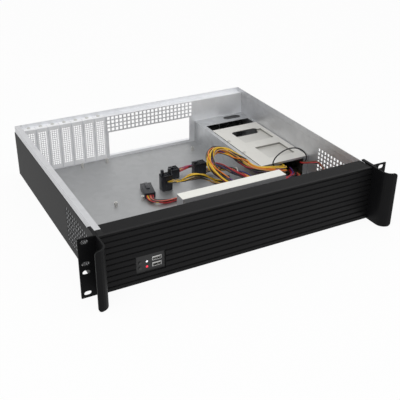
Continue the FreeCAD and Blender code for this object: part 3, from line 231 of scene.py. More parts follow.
class Finish(Nodes):
    """A material with one Principled shader, built from expressions on object coordinates."""

    def __init__(self, name, **constants):
        self.material = bpy.data.materials.new(name)
        self.material.use_nodes = True
        super().__init__(self.material.node_tree)
        self.shader = next(n for n in self.tree.nodes if n.type == "BSDF_PRINCIPLED")
        self.set(**{
            key: (*amount, 1.0) if isinstance(amount, tuple) else amount
            for key, amount in constants.items()
        })
        self.where = self.node("TexCoord").outputs["Object"]

    def axes(self):
        parts = self.node("SeparateXYZ", None, {"Vector": self.where}).outputs
        return [Value(self, part) for part in parts]

    def stretched(self, scale):
        return self.node("Mapping", None, {"Vector": self.where, "Scale": scale}).outputs[0]

    def noise(self, scale, detail=2.0, rough=0.5, along=None):
        made = self.node(
            "TexNoise", None,
            {"Vector": along or self.where, "Scale": scale, "Detail": detail, "Roughness": rough},
        )
        return Value(self, made.outputs[0])

    def crystals(self, scale):
        """A number that is even inside each crystal and changes from one to the next."""
        cells = self.node("TexVoronoi", None, {"Vector": self.where, "Scale": scale})
        made = self.node("TexWhiteNoise", None, {"Vector": cells.outputs["Position"]})
        return Value(self, made.outputs["Value"])

    def blend(self, share, first, second):
        """A colour between two, by share."""
        made = self.node("Mix", {"data_type": "RGBA"}, {0: share})
        for index, colour in ((6, first), (7, second)):
            self.feed(made.inputs[index], (*colour, 1.0) if isinstance(colour, tuple) else colour)
        return made.outputs[2]

    def shade(self, colour, amount):
        """A colour darkened or lightened by a number near 1."""
        inputs = {"Scale": amount, 0: colour}
        return self.node("VectorMath", {"operation": "SCALE"}, inputs).outputs[0]

    def set(self, **given):
        for key, what in given.items():
            self.feed(self.shader.inputs[key.replace("_", " ").title().replace("Ior", "IOR")], what)

    def bump(self, height, depth, strength=1.0):
        made = self.node("Bump", None, {"Height": height, "Distance": depth, "Strength": strength})
        self.feed(self.shader.inputs["Normal"], made.outputs[0])


def box_of(name):
    return [np.array(corner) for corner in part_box(name)]


def colour_of(settings, name):
    return tuple(round(part, 5) for part in getattr(settings, name))


# ---- finishes
def speckle(finish, colour, roughness, depth, fine, coarse, shades, roughs):
    """Fine grain and soft clouds in colour and gloss; the grain is raised by depth.

    fine and coarse are each a noise's scale, detail and roughness; shades and roughs are each a
    constant and the shares of the grain and of the clouds.
    """
    grain, cloud = finish.noise(*fine), finish.noise(*coarse)
    finish.set(
        base_color=finish.shade(colour, shades[0] + cloud * shades[2] + grain * shades[1]),
        roughness=roughness + roughs[0] + cloud * roughs[2] + grain * roughs[1],
    )
    finish.bump(grain, depth)
    return finish


def powder_coat(name, colour, depth, roughness=0.46):
    """Fine-textured black coat: a pebbled bump and slightly uneven gloss."""
    finish = Finish(name, base_color=colour, roughness=roughness, specular_ior_level=0.09)
    looks = (1500, 2.0, 0.55), (14, 3.0, 0.5), (0.82, 0.12, 0.3), (-0.08, 0.12, 0.1)
    return speckle(finish, colour, roughness, depth, *looks)


def rolled(finish, colour, along, depth, roughness, contrast=0.1, spangle=0.05):
    """Rolled sheet: long fine streaks, a faint crystal pattern and soft handling marks."""
    streaks = finish.noise(1.0, 4.0, 0.62, finish.stretched(along))
    crystals = finish.crystals(95)
    marks = finish.noise(9, 4.0, 0.6)
    level = 1 - contrast / 2 - spangle / 2 + streaks * contrast + crystals * spangle
    level = level - marks.rise(0.55, 0.75) * 0.05
    finish.bump(streaks, depth, 0.6)
    return finish.shade(colour, level), roughness - 0.08 + streaks * 0.1 + marks * 0.1


def sheet_steel(name, colour, along, depth, roughness=0.42, metallic=0.75, contrast=0.1, spangle=0.05):
    finish = Finish(name, base_color=colour, roughness=roughness, metallic=metallic)
    base, rough = rolled(finish, colour, along, depth, roughness, contrast, spangle)
    finish.set(base_color=base, roughness=rough)
    return finish


def painted_tray(name, zinc, plain, paint, depth):
    """Galvanised inside, with painted shade on the floor, which takes a darker copy of the zinc; black
    coat on the sides' outer faces and underneath.

    The flanges' front ends are coated too, where the front frame's paint runs over them.
    """
    finish = Finish(name, base_color=zinc, roughness=0.42, metallic=0.75, specular_ior_level=0.16)
    across, along, up = finish.axes()
    low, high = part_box("chassis_tray")
    skin, band, overspray, flange = 0.0006, 0.0099, 0.012, 0.002
    outer = abs(across) > high.x - skin
    front_end = (along < low.y + overspray) * (up > high.z - flange)
    coated = (outer * (up < high.z - band)).or_more(up < low.z + 0.0004).or_more(front_end)
    base, rough = rolled(finish, zinc, (30, 3, 30), depth, 0.42, 0.1, 0.07)
    # Painted shade: the floor, up to 3 mm above the tray's bottom, takes this darker zinc.
    bottom = rolled(finish, plain, (30, 3, 30), depth, 0.42, 0.14, 0.06)[0]
    bare = finish.blend(up < low.z + 0.003, base, bottom)
    pebble = finish.noise(1500, 2.0, 0.55)
    finish.set(
        base_color=finish.blend(coated, bare, finish.shade(paint, 0.85 + pebble * 0.3)),
        roughness=rough * (1 - coated) + coated * (0.5 + pebble * 0.12),
        metallic=(1 - coated) * 0.75,
    )
    return finish


def bridge_plate(name, strip, zinc, depth):
    """Cream-white plating on the level top, its paleness partly painted light; painted shade on the apron,
    the legs and the feet, which take a darkened zinc.
    """
    finish = Finish(name, base_color=strip, roughness=0.5, metallic=0.1)
    up = finish.axes()[2]
    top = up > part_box("drive_bridge")[1].z - 0.0003
    lit_top_tone, rough = rolled(finish, strip, (2, 60, 60), depth, 0.5, 0.05, 0.02)
    # Painted shade: the apron, the legs and the feet take the zinc at about half its tone.
    plain = finish.shade(zinc, 0.5 + finish.noise(40) * 0.2)
    finish.set(base_color=finish.blend(top, plain, lit_top_tone), roughness=rough)
    return finish


def pressed_cover(name, colour, depth, deepest):
    """Bright plate whose pressed wells carry painted shade: their steep walls much darker and dull, their
    floor slightly darker.
    """
    finish = Finish(name, base_color=colour, roughness=0.45, metallic=0.4)
    up = finish.axes()[2]
    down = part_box("psu_cover")[1].z - up
    # Painted shade: the wells' walls darken by up to 62 per cent and their floor by 10 per cent.
    well_floor_shade = down.rise(deepest - 0.0008, deepest - 0.0003)
    wall = down.rise(0.0001, 0.0006) * (1 - well_floor_shade)
    base, rough = rolled(finish, colour, (40, 3, 40), depth, 0.45, 0.06, 0.02)
    finish.set(base_color=finish.shade(base, 1 - wall * 0.62 - well_floor_shade * 0.1), roughness=rough + wall * 0.1)
    return finish


def moulded(name, colour, roughness=0.45, grain=0.00004, coat=0.0):
    """Moulded plastic with a fine spark-eroded grain."""
    finish = Finish(name, base_color=colour, roughness=roughness, coat_weight=coat)
    looks = (2200, 2.0, 0.6), (60, 2.0, 0.5), (0.88, 0.14, 0.1), (-0.06, 0.12, 0.0)
    return speckle(finish, colour, roughness, grain, *looks)


def plated(name, colour, roughness=0.28, metallic=0.95):
    """Small plated parts: bright, with faint scratches and a dulled skin."""
    finish = Finish(name, base_color=colour, roughness=roughness, metallic=metallic)
    scratches = finish.noise(1.0, 3.0, 0.6, finish.stretched((900, 900, 120)))
    finish.set(
        base_color=finish.shade(colour, 0.86 + scratches * 0.26),
        roughness=roughness - 0.06 + scratches * 0.16,
    )
    finish.bump(scratches, 0.00001)
    return finish


def lens(name, colour, glow):
    """Clear plastic lens with painted glow: its emission in its own colour stands in for the bright
    reflection on the lens.
    """
    finish = Finish(
        name, base_color=colour, roughness=0.18, transmission_weight=0.25, ior=1.49, coat_weight=0.4,
        emission_color=colour, emission_strength=glow,
    )
    cloud = finish.noise(700, 2.0, 0.5)
    finish.set(base_color=finish.shade(colour, 0.85 + cloud * 0.3), roughness=0.14 + cloud * 0.1)
    return finish


def circuit_board(name, colour):
    """Lacquer with the ridges of the copper tracks under it."""
    finish = Finish(name, base_color=colour, roughness=0.3, coat_weight=0.35)
    across = finish.axes()[0]
    grid = ((across * 2400).wave() * 0.5 + 0.5).rise(0.55, 0.7) * finish.noise(70, 1.0).rise(0.4, 0.5)
    finish.set(
        base_color=finish.blend(grid * 0.6, colour, tuple(part * 1.7 for part in colour)),
        roughness=0.26 + finish.noise(300) * 0.12,
    )
    finish.bump(grid, 0.00003)
    return finish


def anodised_bezel(name, colour):
    """Satin black plate, brushed along its width, with soft clouds in its tone and gloss."""
    finish = Finish(name, base_color=colour, roughness=0.38, specular_ior_level=0.12)
    brushed = finish.noise(1.0, 3.0, 0.6, finish.stretched((12, 600, 2600)))
    cloud = finish.noise(10, 2.0, 0.5)
    finish.set(
        base_color=finish.shade(colour, 0.8 + brushed * 0.3 + cloud * 0.2),
        roughness=0.36 + brushed * 0.1 + cloud * 0.08,
    )
    finish.bump(brushed, 0.00001, 0.7)
    return finish


def wire_insulation(name):
    """Soft plastic insulation; each wire's colour comes from its own attribute."""
    finish = Finish(name, roughness=0.36, coat_weight=0.12, specular_ior_level=0.5)
    colour = finish.node("Attribute", {"attribute_name": "wire_colour"}).outputs["Color"]
    looks = (1800, 2.0, 0.5), (160, 2.0, 0.5), (0.86, 0.0, 0.26), (-0.06, 0.14, 0.0)
    return speckle(finish, colour, 0.36, 0.00002, *looks)


def wear(names, finish):
    """Give CAD nodes a finish through their material slots."""
    for name in names:
        slots = NODES[name].data.materials
        slots.clear()
        slots.append(finish.material)


# ---- mesh surfaces
def linked(name, data):
    """A new object of the scene."""
    made = bpy.data.objects.new(name, data)
    bpy.context.scene.collection.objects.link(made)
    return made


def new_piece(name, vertices, faces, body, slot, finish, smooth=True, closed=False):
    """A mesh object from whole arrays; its place is in its vertices.

    A closed shell has its doubles merged first and its faces then turned outwards.
    """
    mesh = bpy.data.meshes.new(name)
    mesh.from_pydata(np.asarray(vertices, float).reshape(-1, 3), [], faces)
    if closed:
        shell = bmesh.new()
        shell.from_mesh(mesh)
        bmesh.ops.remove_doubles(shell, verts=shell.verts, dist=2e-6)
        bmesh.ops.dissolve_degenerate(shell, edges=shell.edges, dist=1e-6)
        bmesh.ops.recalc_face_normals(shell, faces=shell.faces)
        shell.to_mesh(mesh)
        shell.free()
    mesh.polygons.foreach_set("use_smooth", [smooth] * len(mesh.polygons))
    mesh.update()
    piece = linked(name, mesh)
    mesh.materials.append(finish.material)
    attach(piece, body)
    return piece


def joined(parts):
    """Several shells, each its vertices and its faces, as one pair of lists."""
    starts = np.cumsum([0] + [len(vertices) for vertices, _ in parts])
    faces = [
        [int(corner) + int(start) for corner in face]
        for (_, shell), start in zip(parts, starts)
        for face in shell
    ]
    return np.concatenate([vertices for vertices, _ in parts]), faces


def as_points(x, y, z):
    return np.stack(np.broadcast_arrays(x, y, z), -1).reshape(-1, 3)


def ring_quads(first, second, side, sides):
    """Quads between two rings of points that start at the numbers first and second."""
    following = (side + 1) % sides
    quads = [first + side, first + following, second + following, second + side]
    return np.stack(np.broadcast_arrays(*quads), -1).reshape(-1, 4)


def lathe(profile, sides, dent=None):
    """A profile of radius and height turned about Z, with its two ends on the axis.

    Point (i, j) is (r_i cos t_j, r_i sin t_j, h_i), t_j being the j-th equal part of a turn.
    dent takes x, y and h and gives the height that a point has instead.
    """
    radius, height = np.array(profile).T
    turn = np.arange(sides) * 2 * math.pi / sides
    x = radius[:, None] * np.cos(turn)
    y = radius[:, None] * np.sin(turn)
    z = np.repeat(height[:, None], sides, axis=1)
    if dent:
        z = dent(x, y, z)
    rows = len(profile)
    low = (np.arange(rows - 1) * sides)[:, None]
    faces = ring_quads(low, low + sides, np.arange(sides)[None], sides)
    return as_points(x, y, z), faces.tolist()


def rounded_block(low, high, radius, steps=3):
    """A block with round edges and corners.

    Each point is a corner of the block drawn in by the radius, plus the radius times a unit
    direction. Directions run over longitude and latitude, a quarter turn for each corner.
    """
    low, high = np.array(low), np.array(high)
    quarter = np.linspace(0, math.pi / 2, steps)
    longitude = (quarter[None] + np.arange(4)[:, None] * math.pi / 2).ravel()
    latitude = np.concatenate([quarter - math.pi / 2, quarter])
    east = np.repeat([1, -1, -1, 1], steps)
    north = np.repeat([1, 1, -1, -1], steps)
    top = np.repeat([-1, 1], steps)
    half = (high - low) / 2 - radius
    level = np.cos(latitude)[:, None]
    x = half[0] * east + radius * level * np.cos(longitude)
    y = half[1] * north + radius * level * np.sin(longitude)
    z = (half[2] * top + radius * np.sin(latitude))[:, None]
    vertices = as_points(x, y, z) + (low + high) / 2
    columns = 4 * steps
    row = (np.arange(2 * steps - 1) * columns)[:, None]
    faces = ring_quads(row, row + columns, np.arange(columns)[None], columns)
    caps = [
        [corner * steps for corner in (3, 2, 1, 0)],
        [(2 * steps - 1) * columns + corner * steps for corner in range(4)],
    ]
    return vertices, faces.tolist() + caps


def tube_faces(parts, rings, sides):
    """Quads round and along many equal tubes, and a flat cap at each end.

    Vertex number is ((part * rings) + ring) * sides + side.
    """
    part, ring, side = np.meshgrid(
        np.arange(parts), np.arange(rings - 1), np.arange(sides), indexing="ij"
    )
    low = (part * rings + ring) * sides
    quads = ring_quads(low, low + sides, side, sides)
    starts = (np.arange(parts) * rings * sides)[:, None] + np.arange(sides)[None, ::-1]
    ends = ((np.arange(parts) * rings + rings - 1) * sides)[:, None] + np.arange(sides)[None, :]
    return quads.tolist() + starts.tolist() + ends.tolist()


def spline_points(name, points, smoothness):
    """Points along the route's NURBS spline, of order 3, through its own end points."""
    curve = bpy.data.curves.new(name, "CURVE")
    curve.dimensions = "3D"
    curve.resolution_u = smoothness
    spline = curve.splines.new("NURBS")
    spline.points.add(len(points) - 1)
    spline.points.foreach_set("co", np.c_[points, np.ones(len(points))].ravel())
    spline.order_u = 3
    spline.use_endpoint_u = True
    holder = bpy.data.objects.new(name, curve)
    mesh = bpy.data.meshes.new_from_object(holder)
    line = np.zeros(len(mesh.vertices) * 3)
    mesh.vertices.foreach_get("co", line)
    bpy.data.objects.remove(holder)
    bpy.data.meshes.remove(mesh)
    bpy.data.curves.remove(curve)
    return line.reshape(-1, 3)


def reached_along(line):
    """How far along the line each of its points is, in metres."""
    steps = np.linalg.norm(np.diff(line, axis=0), axis=1)
    return np.concatenate([[0.0], np.cumsum(steps)])


def turning_frame(line):
    """Two directions square to the line at each station, carried along without twist."""
    along = np.gradient(line, axis=0)
    along /= np.linalg.norm(along, axis=1)[:, None]
    side = np.cross(along[0], (0.0, 0.0, 1.0))
    sides = []
    for direction in along:
        side = side - direction * (side @ direction)
        side = side / np.linalg.norm(side)
        sides.append(side)
    sides = np.array(sides)
    return sides, np.cross(along, sides)


# ---- wiring
# Colours of the wires, by letter.
COLOURS = {
    "Y": (0.80, 0.50, 0.02),  # yellow
    "O": (0.78, 0.20, 0.015),  # orange
    "R": (0.45, 0.02, 0.03),  # red
    "K": (0.012, 0.012, 0.013),  # black
    "P": (0.10, 0.04, 0.20),  # purple
    "W": (0.72, 0.70, 0.66),  # white
    "B": (0.03, 0.05, 0.28),  # blue
    "N": (0.16, 0.06, 0.02),  # brown
    "T": (0.62, 0.36, 0.12),  # tan
    "S": (0.62, 0.13, 0.09),  # salmon
}

# Each bundle: thickness, plug, width where it fans out at the plug, spread along its length,
# its wires' colours, and its route's points in tenths of a millimetre from the supply's corner,
# the front left one.
BUNDLES = {
    "wire_main": (
        0.011, "plug_main", 0.014, (0.7, 0.75, 0.9, 1, 1, 1, 1, 0.8, 0.7), "YYKYOYRKYPYKOYTKYOYKYK",
        ((493, 0, 310), (483, -120, 330), (373, -190, 370), (223, -190, 400), (73, -160, 410),
         (-47, -60, 400), (-77, 100, 380), (-87, 280, 390), (-137, 460, 430), (-227, 610, 490),
         (-387, 660, 550), (-557, 570, 560), (-667, 410, 520), (-687, 250, 430), (-597, 120, 330),
         (-497, -50, 260), (-397, -230, 200), (-297, -410, 130), (-237, -580, 75)),
    ),
    "wire_board": (
        0.009, "plug_board", 0.012, (0.9, 1, 1, 1, 0.9, 0.7), "KYKPYNKOKYBKRYKW",
        ((503, 0, 180), (493, -120, 180), (373, -230, 190), (203, -260, 210), (33, -210, 220),
         (-87, -70, 220), (-127, 140, 210), (-127, 370, 190), (-157, 580, 150), (-237, 750, 110),
         (-367, 860, 80), (-497, 880, 70)),
    ),
    "wire_processor": (
        0.008, "plug_processor", 0.01, (0.9, 0.9, 0.9, 1, 1, 1, 1, 0.9), "KYKYKYKTKY",
        ((663, 0, 100), (643, -130, 90), (503, -250, 70), (313, -320, 60), (103, -310, 60),
         (-67, -190, 70), (-167, -10, 80), (-257, 170, 80), (-407, 290, 80), (-577, 330, 140),
         (-717, 310, 250), (-857, 300, 330), (-997, 320, 340), (-1097, 390, 280), (-1167, 480, 220),
         (-1247, 550, 190), (-1307, 610, 180)),
    ),
    "wire_drive": (
        0.007, "plug_drive", 0.0105, (0.9, 0.9, 0.9, 0.9, 0.9, 1, 1, 0.9), "RYKSSKR",
        ((803, 0, 110), (783, -140, 80), (643, -300, 50), (423, -410, 50), (163, -450, 50),
         (-57, -430, 50), (-277, -350, 50), (-477, -210, 55), (-677, -60, 50), (-877, 80, 60),
         (-1077, 200, 50), (-1277, 260, 60), (-1467, 250, 50), (-1617, 260, 55), (-1707, 330, 60),
         (-1712, 440, 60), (-1670, 545, 60)),
    ),
    "wire_card": (
        0.007, "plug_card", 0.009, (0.9, 1, 1, 0.9, 1, 1, 0.9), "RKRYPRK",
        ((643, 0, 240), (623, -140, 240), (493, -270, 260), (303, -360, 280), (83, -340, 290),
         (-87, -230, 300), (-197, -50, 280), (-237, 180, 260), (-257, 420, 250), (-297, 660, 240),
         (-377, 880, 200), (-517, 1020, 140), (-667, 1080, 110), (-807, 1060, 110), (-937, 1020, 110)),
    ),
    "wire_lead": (
        0.0022, None, 0.0, (0, 0), "K",
        ((459, 0, 361), (363, -50, 360), (273, -80, 390), (233, -80, 470), (293, -70, 560),
         (413, -60, 625), (563, -50, 655), (723, -50, 630), (853, -50, 550), (933, -50, 440),
         (933, -35, 330), (873, 0, 260)),
    ),
    "wire_side": (
        0.004, "plug_side", 0.0, (0.5, 0.7, 0.5), "RKN",
        ((843, 0, 320), (863, -120, 350), (893, -250, 420), (923, -390, 460), (933, -530, 420),
         (923, -650, 300), (903, -750, 170), (883, -840, 80), (863, -930, 45)),
    ),
}


def wire_bundle(name, thick, spread, colours, line, fan, settings, finish):
    """Many thin tubes that follow one line.

    Wire k of n lies at r = R s sqrt((k + 1/2) / n) from the line, where s is the spread there,
    at k times the golden angle plus a slow wander: d (sin(2 pi f t + p) + sin(4 pi f t + 2 p) / 2),
    t being the share of the length. Over the last part the round bundle turns into one level
    row, as wide as fan. No wire's middle goes below its own radius above the floor plate.
    """
    rings = len(line)
    sides = settings.sides
    count = len(colours)
    radius = settings.wire / 2 if count > 1 else thick / 2
    room = settings.reach * thick + settings.margin - radius
    rng = np.random.default_rng(RNG_SEED + int(thick * 1e4) + count)
    reached = reached_along(line)
    share = reached[None] / reached[-1]
    order = np.arange(count)[:, None]
    grown = np.interp(share, np.linspace(0, 1, len(spread)), spread)
    rate = rng.uniform(0.5, 1.5, (count, 1))
    phase = rng.uniform(0, 2 * math.pi, (count, 1))
    wander = 2 * math.pi * rate * share + phase
    angle = order * math.pi * (3 - math.sqrt(5))
    angle = angle + settings.drift * (np.sin(wander) + 0.5 * np.sin(2 * wander + phase))
    away = room * grown * np.sqrt((order + 0.5) / count) * (1 - settings.loose * (1 - np.cos(3 * wander)))
    across, up = turning_frame(line)
    bundled = across * (away * np.cos(angle))[..., None] + up * (away * np.sin(angle))[..., None]
    along = np.gradient(line, axis=0)
    level = np.cross(along, (0.0, 0.0, 1.0))
    level /= np.maximum(np.linalg.norm(level, axis=1), 1e-9)[:, None]
    place = (order - (count - 1) / 2) / max(count - 1, 1) * min(fan, 2 * room)
    fanned = level * place[..., None]
    turned = np.clip((share - ROW_START) / (ROW_DONE - ROW_START), 0, 1)[..., None]
    turned = turned * turned * (3 - 2 * turned) if fan else turned * 0
    centres = line + bundled * (1 - turned) + fanned * turned
    centres[..., 2] = np.maximum(centres[..., 2], FLOOR_PLATE + radius)
    turn = np.linspace(0, 2 * math.pi, sides, endpoint=False)[:, None]
    ring = (across[:, None] * np.cos(turn) + up[:, None] * np.sin(turn)) * radius
    vertices = centres[:, :, None] + ring
    piece = new_piece(
        f"{name}_strands", vertices, tube_faces(count, rings, sides), "case",
        "wire_black" if count == 1 else "wire_mixed", finish,
    )
    layer = piece.data.attributes.new("wire_colour", "FLOAT_COLOR", "POINT")
    shown = np.array([(*COLOURS[letter], 1.0) for letter in colours])
    shown = np.repeat(shown, rings * sides, axis=0).astype(np.float32)
    layer.data.foreach_set("color", shown.ravel())
    return piece


# ---- perforated plates
def perforated_plate(settings, left, right, bottom, top, sides=12):
    """A plate with round holes in a grid about its middle height, as one closed shell.

    Each cell has a ring of points on its own edge and a ring on its hole. A point on the edge
    lies where the ray at its angle leaves the cell: the unit direction divided by the larger
    of its two parts, each over its half side. Points on the grid's own border move out to the
    plate's border, so that the outer cells carry the margins.
    """
    columns, rows, half = settings.columns, settings.rows, settings.pitch / 2
    middle, thick = settings.middle, settings.thickness
    turn = (np.arange(sides) + 0.5) * 2 * math.pi / sides
    ray = np.stack([np.cos(turn), np.sin(turn)], -1)
    edge = ray * half / np.max(np.abs(ray), axis=1)[:, None]
    corners = np.array(((1, 1), (-1, 1), (-1, -1), (1, -1))) * half
    nearest = np.argmin(np.linalg.norm(edge[None] - corners[:, None], axis=2), axis=1)
    edge[nearest] = corners
    across = ((np.arange(columns) + 0.5) * 2 - columns) * half
    up = ((np.arange(rows) + 0.5) * 2 - rows) * half
    centre = np.stack(np.meshgrid(across, up, indexing="ij"), -1).reshape(-1, 1, 2)
    outer = centre + edge[None]
    reach = np.array([columns, rows]) * half
    origin = np.array(((left + right) / 2, middle))
    low, high = np.array((left, bottom)) - origin, np.array((right, top)) - origin
    on_low = np.isclose(outer, -reach, atol=1e-7)
    on_high = np.isclose(outer, reach, atol=1e-7)
    outer = np.where(on_low, low, np.where(on_high, high, outer))
    inner = centre + (ray * settings.hole / 2)[None]
    flat = np.stack([outer, inner], 1) + origin
    front = np.stack([flat[..., 0], np.zeros(flat.shape[:-1]), flat[..., 1]], -1)
    back = front + (0, thick, 0)
    vertices = np.stack([front, back], 1).reshape(-1, 3)
    start = (np.arange(columns * rows) * 4 * sides)[:, None]
    side = np.arange(sides)[None]
    front_edge, front_bore, back_edge, back_bore = [start + sides * part for part in range(4)]
    bands = [
        ring_quads(a, b, side, sides)
        for a, b in ((front_edge, front_bore), (front_bore, back_bore), (back_bore, back_edge))
    ]
    border = on_low | on_high
    shared = (border & border[:, (side[0] + 1) % sides]).any(-1)
    walls = ring_quads(back_edge, front_edge, side, sides).reshape(-1, sides, 4)
    return vertices, np.concatenate(bands + [walls[shared]]).tolist()


# ---- screws, plugs and guard
def pan_head_screw(settings, length):
    """A screw along Z, its head's seat at height 0 and its shank below, with a cross recess.

    The head is a dome, h (1 - 0.3 (r / R)^2). A point of it inside either arm of the cross, a
    bar of half width 0.16 R and half length 0.55 R, is lowered. The thread is a saw's edge.
    """
    head, height, shank = settings.head, settings.height, settings.shank
    arm_width, arm_length, arm_depth, root = 0.16, 0.55, 0.55, 0.86
    dome = np.linspace(0, 0.94, 14)
    profile = [(head * share, height * (1 - 0.3 * share**2)) for share in dome]
    profile += [(head, height * 0.5), (head, 0.0), (shank, 0.0)]
    steps = np.arange(0.0001, length - settings.thread, settings.thread / 2)
    crest = np.where(np.arange(len(steps)) % 2, shank, shank * root)
    profile += list(zip(crest, -steps))
    profile += [(shank * 0.7, -length), (0.0, -length)]

    def recess(x, y, z):
        wide, far = np.minimum(np.abs(x), np.abs(y)), np.maximum(np.abs(x), np.abs(y))
        inside = (wide < head * arm_width) & (far < head * arm_length) & (z > 0)
        return np.where(inside, z - height * arm_depth, z)

    return lathe(profile, 32, recess)


def screw_set(name, counts, axis, sense, settings, finish, slot):
    """Screws in even rows over a node's box, heads on the side that the shanks point away from.

    counts are the screws along X, Y and Z; sense is the way that a shank points on its axis.
    """
    low, high = box_of(name)
    inset = settings.head / math.cos(math.pi / 8)
    index = "XYZ".index(axis)
    length = (high - low)[index] - settings.height
    seat = high[index] - settings.height if sense < 0 else low[index] + settings.height
    rows = [
        np.linspace(low[k] + inset, high[k] - inset, counts[k]) if k != index else [seat]
        for k in range(3)
    ]
    vertices, faces = pan_head_screw(settings, length)
    out = np.eye(3)[index] * -sense
    first = np.roll(np.eye(3)[index], 1)
    turned = vertices @ np.stack([first, np.cross(out, first), out])
    places = np.stack(np.meshgrid(*rows, indexing="ij"), -1).reshape(-1, 3)
    shells = [(turned + place, faces) for place in places]
    piece = new_piece(f"{name}_turned", *joined(shells), "case", slot, finish, True, True)
    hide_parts(name)
    piece.data.set_sharp_from_angle(angle=SHARP)


def connector_shells(width, depth, height, columns, rows, ribs_at, sizes):
    """A housing with its sockets' face up: round-edged body, walls between sockets, ribs, latch."""
    wall, edge, fine, mouth = sizes.wall, sizes.edge, sizes.wall / 4, sizes.mouth
    foot = height - mouth
    shells = [rounded_block((0, 0, 0), (width, depth, height - mouth / 2), edge)]
    across = np.linspace(0, width - wall, columns + 1)
    deep = np.linspace(0, depth - wall, rows + 1)
    shells += [rounded_block((x, 0, foot), (x + wall, depth, height), fine, 2) for x in across]
    shells += [rounded_block((0, y, foot), (width, y + wall, height), fine, 2) for y in deep]
    for x in across[:-1] + width / columns / 2:
        low = (x, ribs_at - wall / 2, height * 0.15)
        shells.append(rounded_block(low, (x + wall, ribs_at + wall / 2, foot - wall), fine, 2))
    latch = ((width * 0.33, depth - wall, height * 0.4), (width * 0.67, depth + wall * 2, height - wall))
    return shells + [rounded_block(*latch, edge / 2)]


def connector(name, columns, rows, upright, towers, tower, turn, settings, finish):
    """A wire connector in its own frame, turned about Z and placed over its node's box.

    towers are the shares of the width where a tower stands on the top, each a quarter wide, and
    tower is their height. The size that a turned box had before its turn solves
    w cos t + l sin t and w sin t + l cos t.
    """
    low, high = box_of(name)
    extent = high - low
    spread = np.array(((math.cos(turn), math.sin(turn)), (math.sin(turn), math.cos(turn))))
    width, long = np.linalg.solve(spread, extent[:2])
    height = extent[2] - tower if upright else long
    depth = long if upright else extent[2] - settings.wall * 2
    ribs_at = 0.0 if upright else depth
    shells = connector_shells(width, depth, height, columns, rows, ribs_at, settings)
    for share in towers:
        foot = (width * share, depth / 3, height - settings.wall)
        top = (width * (share + 0.25), depth * 2 / 3, height + tower)
        shells.append(rounded_block(foot, top, settings.edge))
    vertices, faces = joined(shells)
    if not upright:
        vertices = vertices[:, (0, 2, 1)]
    cosine, sine = math.cos(turn), math.sin(turn)
    middle = np.array((width / 2, long / 2, 0.0))
    placed = (vertices - middle) @ np.array(((cosine, -sine, 0), (sine, cosine, 0), (0, 0, 1)))
    placed = placed + (*((low + high) / 2)[:2], low[2])
    piece = new_piece(f"{name}_housing", placed, faces, "case", "black_plastic", finish, True, True)
    piece.data.set_sharp_from_angle(angle=SHARP)
    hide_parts(name)
    return piece


# Each connector: sockets across and deep, upright or lying, towers on its top and their
# height in metres, and its turn.
PLUGS = {
    "plug_main": (4, 2, False, (), 0.0, 0.0),
    "plug_board": (6, 4, True, (0.05,), 0.003, 0.0),
    "plug_processor": (4, 2, True, (0.02, 0.73), 0.009, 0.0),
    "plug_drive": (7, 1, False, (), 0.0, math.radians(12)),
    "plug_card": (4, 2, True, (0.05,), 0.003, 0.0),
    "plug_side": (3, 1, False, (), 0.0, 0.0),
}


def guard_rings(finish):
    """The fan's guard: three rings and two crossed bars of round wire.

    A ring's point is ((A + a cos v) cos u, a sin v, (A + a cos v) sin u).
    """
    low, high = box_of("psu_fan_guard")
    centre = (low + high) / 2
    wire = (high[1] - low[1]) / 2
    half = (high[0] - low[0]) / 2
    opening = half - 0.001
    turns, sides, stations = 64, 10, 24
    shells = []
    u = np.arange(turns) * 2 * math.pi / turns
    v = np.arange(sides) * 2 * math.pi / sides
    column = (np.arange(turns) * sides)[:, None]
    faces = ring_quads(column, np.roll(column, -1), np.arange(sides)[None], sides).tolist()
    for part in (0.5, 0.7, 0.9):
        out = opening * part + wire * np.cos(v)[None]
        x, z = out * np.cos(u)[:, None], out * np.sin(u)[:, None]
        shells.append((as_points(x, wire * np.sin(v)[None], z) + centre, faces))
    for turn in (0, math.pi / 2):
        reach = np.linspace(-half, half, stations)[:, None]
        x = reach * math.cos(turn) - wire * np.cos(v)[None] * math.sin(turn)
        z = reach * math.sin(turn) + wire * np.cos(v)[None] * math.cos(turn)
        bar = as_points(x, wire * np.sin(v)[None], z) + centre
        shells.append((bar, tube_faces(1, stations, sides)))
    piece = new_piece("fan_guard_wires", *joined(shells), "case", "port_steel", finish, True, True)
    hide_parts("psu_fan_guard")


# ---- operators
class RACKCASE_OT_sheet_metal(bpy.types.Operator):
    """Finish the tray, rear wall, front, ears, handles and bridge"""

    bl_idname = "rackcase.sheet_metal"
    bl_label = "Finish Sheet Metal"

    def execute(self, context):
        settings = context.scene.rackcase_metal
        paint = colour_of(settings, "paint")
        zinc = colour_of(settings, "zinc")
        grain, coat = settings.grain, settings.coat_texture
        # The floor's darker zinc is painted shade.
        floor_shaded_zinc = colour_of(settings, "floor")
        wear(["chassis_tray"], painted_tray("tray_zinc_and_coat", zinc, floor_shaded_zinc, paint, grain))
        # The rear wall's lighter zinc is painted light.
        rear = colour_of(settings, "rear")
        wear(["rear_panel"], sheet_steel("rear_wall_lit_zinc", rear, (3, 30, 30), grain, 0.42, 0.6))
        wear(
            ["front_frame", "rack_ear_left", "rack_ear_right", "handle_left", "handle_right"],
            powder_coat("black_powder_coat", paint, coat),
        )
        wear(["front_bezel"], anodised_bezel("bezel_anodised", colour_of(settings, "bezel")))
        strip = colour_of(settings, "strip")
        # The bridge's pale top is partly painted light; its apron, legs and feet carry painted shade.
        wear(["drive_bridge"], bridge_plate("bridge_plating_lit_and_shaded", strip, zinc, grain))
        wear(["board_posts"], plated("post_nickel", (0.70, 0.69, 0.66), 0.3))
        return {"FINISHED"}


